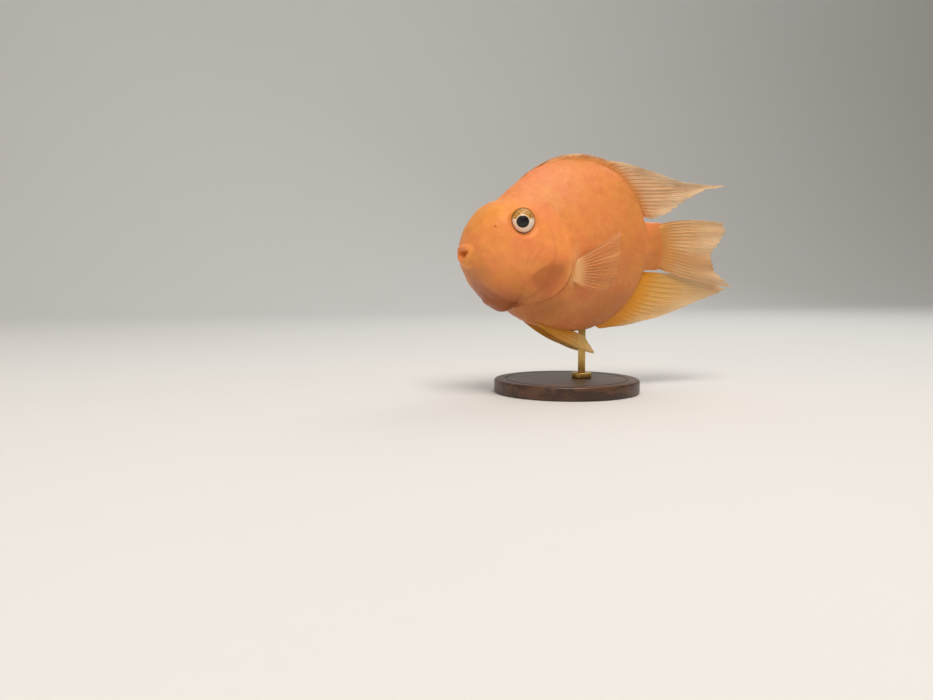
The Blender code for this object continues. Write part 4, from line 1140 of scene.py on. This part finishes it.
def make_sweep():
    """A floor of pale paper that curves up into the background."""
    bm = bmesh.new()
    end = bmesh.ops.create_vert(bm, co=(-SWEEP_SIDE, SWEEP_NEAR, 0.0))["vert"][0]
    turns = [math.radians(90.0 * k / 16) for k in range(17)]
    path = [(SWEEP_FAR + SWEEP_BEND * math.sin(t), SWEEP_BEND * (1.0 - math.cos(t))) for t in turns]
    for y, z in path + [(SWEEP_FAR + SWEEP_BEND, SWEEP_TOP)]:
        end = bmesh.ops.extrude_vert_indiv(bm, verts=[end])["verts"][0]
        end.co = (-SWEEP_SIDE, y, z)
    made = bmesh.ops.extrude_edge_only(bm, edges=bm.edges[:])
    bmesh.ops.translate(bm, verts=verts_of(made), vec=(2 * SWEEP_SIDE, 0, 0))
    bmesh.ops.recalc_face_normals(bm, faces=bm.faces)
    mesh = mesh_from("paper_sweep", bm)
    mesh.shade_smooth()
    mesh.materials.append(paper_look())
    sweep = linked("paper_sweep", mesh)


def make_lights():
    """A large key light above the snout, a fill, a light behind the fins, one for the wall, and the room."""
    settings = bpy.context.scene.fish_stage
    middle = Vector((0.0, 0.0, BODY_HIGH * MM))
    wall = Vector((0.2, SWEEP_FAR + SWEEP_BEND, 0.5))
    for name, place, aim, size, power, tint in (
            ("key_light", (-0.18, -0.62, 1.25), middle, 0.7, settings.key_power, "#FFF4E8"),
            ("fill_light", (-1.1, -0.5, 0.25), middle, 1.0, settings.fill_power, "#FFF0DC"),
            ("rear_light", (0.7, 0.6, 0.9), middle, 0.6, settings.rear_power, "#FFFFFF"),
            ("wall_light", (0.2, 0.4, 2.4), wall, 2.0, settings.wall_power, "#FFFFFF")):
        lamp = bpy.data.lights.new(name, "AREA")
        lamp.size, lamp.energy, lamp.color = size, power, linear(tint)[:3]
        obj = linked(name, lamp)
        obj.location = place
        obj.rotation_euler = (aim - Vector(place)).to_track_quat("-Z", "Y").to_euler()
    world = bpy.data.worlds.new("soft_room")
    world.use_nodes = True
    world.node_tree.nodes["Background"].inputs["Color"].default_value = linear("#F6EBDC")
    world.node_tree.nodes["Background"].inputs["Strength"].default_value = settings.room_strength
    bpy.context.scene.world = world


def make_camera():
    """The camera where the photo was taken from, with plain picture tones as in the photo."""
    lens = bpy.data.cameras.new("camera")
    lens.sensor_width, lens.lens, lens.clip_start = 36.0, LENS, 0.01
    camera = linked("camera", lens)
    camera.location = [(a + b) * MM for a, b in zip(CAMERA_AT, (BODY_SHIFT, 0.0, BODY_HIGH))]
    level = math.cos(PITCH)
    ahead = Vector((math.sin(HEADING) * level, math.cos(HEADING) * level, math.sin(PITCH)))
    camera.rotation_euler = ahead.to_track_quat("-Z", "Y").to_euler()
    bpy.context.scene.camera = camera
    # the photo's bright oranges turn pale under AgX
    bpy.context.scene.view_settings.view_transform = "Standard"


def colour_property(name, description, code):
    return FloatVectorProperty(name=name, description=description, subtype="COLOR", size=4, min=0.0, max=1.0,
                               default=linear(code))


class FishColours(bpy.types.PropertyGroup):
    """Colours of the skin and its markings, some of them painted shade, and of the iris."""

    body: colour_property("Body", "Orange ground colour of the flanks", "#F09555")
    cheek: colour_property("Cheek", "Cheek and gill cover", "#EC9462")
    brow: colour_property("Brow", "Yellow-orange brow and muzzle", "#E29A42")
    nape: colour_property("Nape", "Salmon of the nape and the hump", "#EC966E")
    ridge: colour_property("Ridge", "Orange ridge of the back", "#C77936")
    hind_flank: colour_property("Hind flank", "Deeper orange before the tail", "#EC9348")
    stalk: colour_property("Tail stalk", "Amber tail stalk", "#C67E3A")
    # partly the lower cheek's ruddy colour, partly painted shade of the cheek's underside
    jowl_and_shade: colour_property("Jowl", "Ruddy lower cheek", "#A8683E")
    belly: colour_property("Belly", "Brown-orange belly", "#E8A26E")
    vent: colour_property("Vent", "Dark amber flesh by the vent", "#B0601A")
    thin_gill: colour_property("Thin gill cover", "Where the gills show darkly through", "#B0663C")
    shoulder: colour_property("Shoulder", "Pale edge behind the gill cover", "#E8AE78")
    lips: colour_property("Lips", "Golden lips", "#EEB252")
    throat_bulge: colour_property("Throat", "Ruddy bulge under the throat", "#9C582B")
    # painted shadow under the edge of the gill cover
    under_gill_shadow: colour_property("Under the gill cover", "Shaded flesh below the gill cover", "#A46E54")
    gold: colour_property("Muzzle spots", "Golden patches low on the muzzle", "#DC9844")
    iris: colour_property("Iris", "Pearly ring of the eye", "#FFF4E4")


class FishSizes(bpy.types.PropertyGroup):
    """Sizes of the coat."""

    coat_depth: FloatProperty(name="Coat depth", description="How far the skin lies under the scales",
                              default=0.22 * MM, unit="LENGTH", precision=5)
    scale_length: FloatProperty(name="Scale length", description="Step from scale to scale along the flank",
                                default=2.9 * MM, unit="LENGTH", precision=5)
    scale_height: FloatProperty(name="Scale height", description="Step from one row of scales to the next",
                                default=1.75 * MM, unit="LENGTH", precision=5)
    scale_lift: FloatProperty(name="Scale lift", description="How far a scale's free edge stands up",
                              default=0.21 * MM, unit="LENGTH", precision=5)


class StageSettings(bpy.types.PropertyGroup):
    """Strength of the lights."""

    key_power: FloatProperty(name="Key light", description="Power of the large light above", default=14.5,
                             unit="POWER")
    fill_power: FloatProperty(name="Fill light", description="Power of the light from the snout's side",
                              default=2.0, unit="POWER")
    rear_power: FloatProperty(name="Rear light", description="Power of the light behind the fins",
                              default=3.0, unit="POWER")
    wall_power: FloatProperty(name="Wall light", description="Power of the light on the background",
                              default=14.0, unit="POWER")
    room_strength: FloatProperty(name="Room light", description="Strength of the even light of the room",
                                 default=0.24)


class FISH_OT_skin(bpy.types.Operator):
    """Lay one skin over the flesh"""

    bl_idname, bl_label = "fish.skin", "Skin"

    def execute(self, context):
        make_skin()
        return {"FINISHED"}


class FISH_OT_scales(bpy.types.Operator):
    """Cover both flanks with scales"""

    bl_idname, bl_label = "fish.scales", "Scales"

    def execute(self, context):
        for side, word in ((-1, "left"), (1, "right")):
            make_scales(side, word)
        return {"FINISHED"}


class FISH_OT_eyes(bpy.types.Operator):
    """Set both eyes in their rims"""

    bl_idname, bl_label = "fish.eyes", "Eyes"

    def execute(self, context):
        for side, word in ((-1, "left"), (1, "right")):
            make_eye(side, word)
        return {"FINISHED"}


class FISH_OT_fins(bpy.types.Operator):
    """Make the seven fins with their fine rays"""

    bl_idname, bl_label = "fish.fins", "Fins"

    def execute(self, context):
        make_fins()
        return {"FINISHED"}


class FISH_OT_stand(bpy.types.Operator):
    """Turn the display stand"""

    bl_idname, bl_label = "fish.stand", "Display stand"

    def execute(self, context):
        make_stand()
        return {"FINISHED"}


class FISH_OT_stage(bpy.types.Operator):
    """Set up the paper, the lights and the camera"""

    bl_idname, bl_label = "fish.stage", "Stage"

    def execute(self, context):
        make_sweep()
        make_lights()
        make_camera()
        return {"FINISHED"}


STEPS = (FISH_OT_skin, FISH_OT_scales, FISH_OT_eyes, FISH_OT_fins, FISH_OT_stand, FISH_OT_stage)


class FISH_PT_panel(bpy.types.Panel):
    """Sizes, lights and the steps that make the model"""

    bl_idname, bl_label = "FISH_PT_panel", "Blood parrot cichlid"
    bl_space_type, bl_region_type, bl_category = "VIEW_3D", "UI", "Fish"

    def draw(self, context):
        scene = context.scene
        for group in (scene.fish_sizes, scene.fish_colours, scene.fish_stage):
            for name in group.__annotations__:
                self.layout.prop(group, name)
        for step in STEPS:
            self.layout.operator(step.bl_idname)


CLASSES = (FishSizes, FishColours, StageSettings, *STEPS, FISH_PT_panel)


def register():
    for cls in CLASSES:
        bpy.utils.register_class(cls)
    bpy.types.Scene.fish_sizes = PointerProperty(type=FishSizes)
    bpy.types.Scene.fish_colours = PointerProperty(type=FishColours)
    bpy.types.Scene.fish_stage = PointerProperty(type=StageSettings)


def unregister():
    del bpy.types.Scene.fish_stage
    del bpy.types.Scene.fish_colours
    del bpy.types.Scene.fish_sizes
    for cls in reversed(CLASSES):
        bpy.utils.unregister_class(cls)


def main():
    register()
    bpy.ops.fish.skin()
    bpy.ops.fish.scales()
    bpy.ops.fish.eyes()
    bpy.ops.fish.fins()
    bpy.ops.fish.stand()
    bpy.ops.fish.stage()


if __name__ == "__main__":
    main()
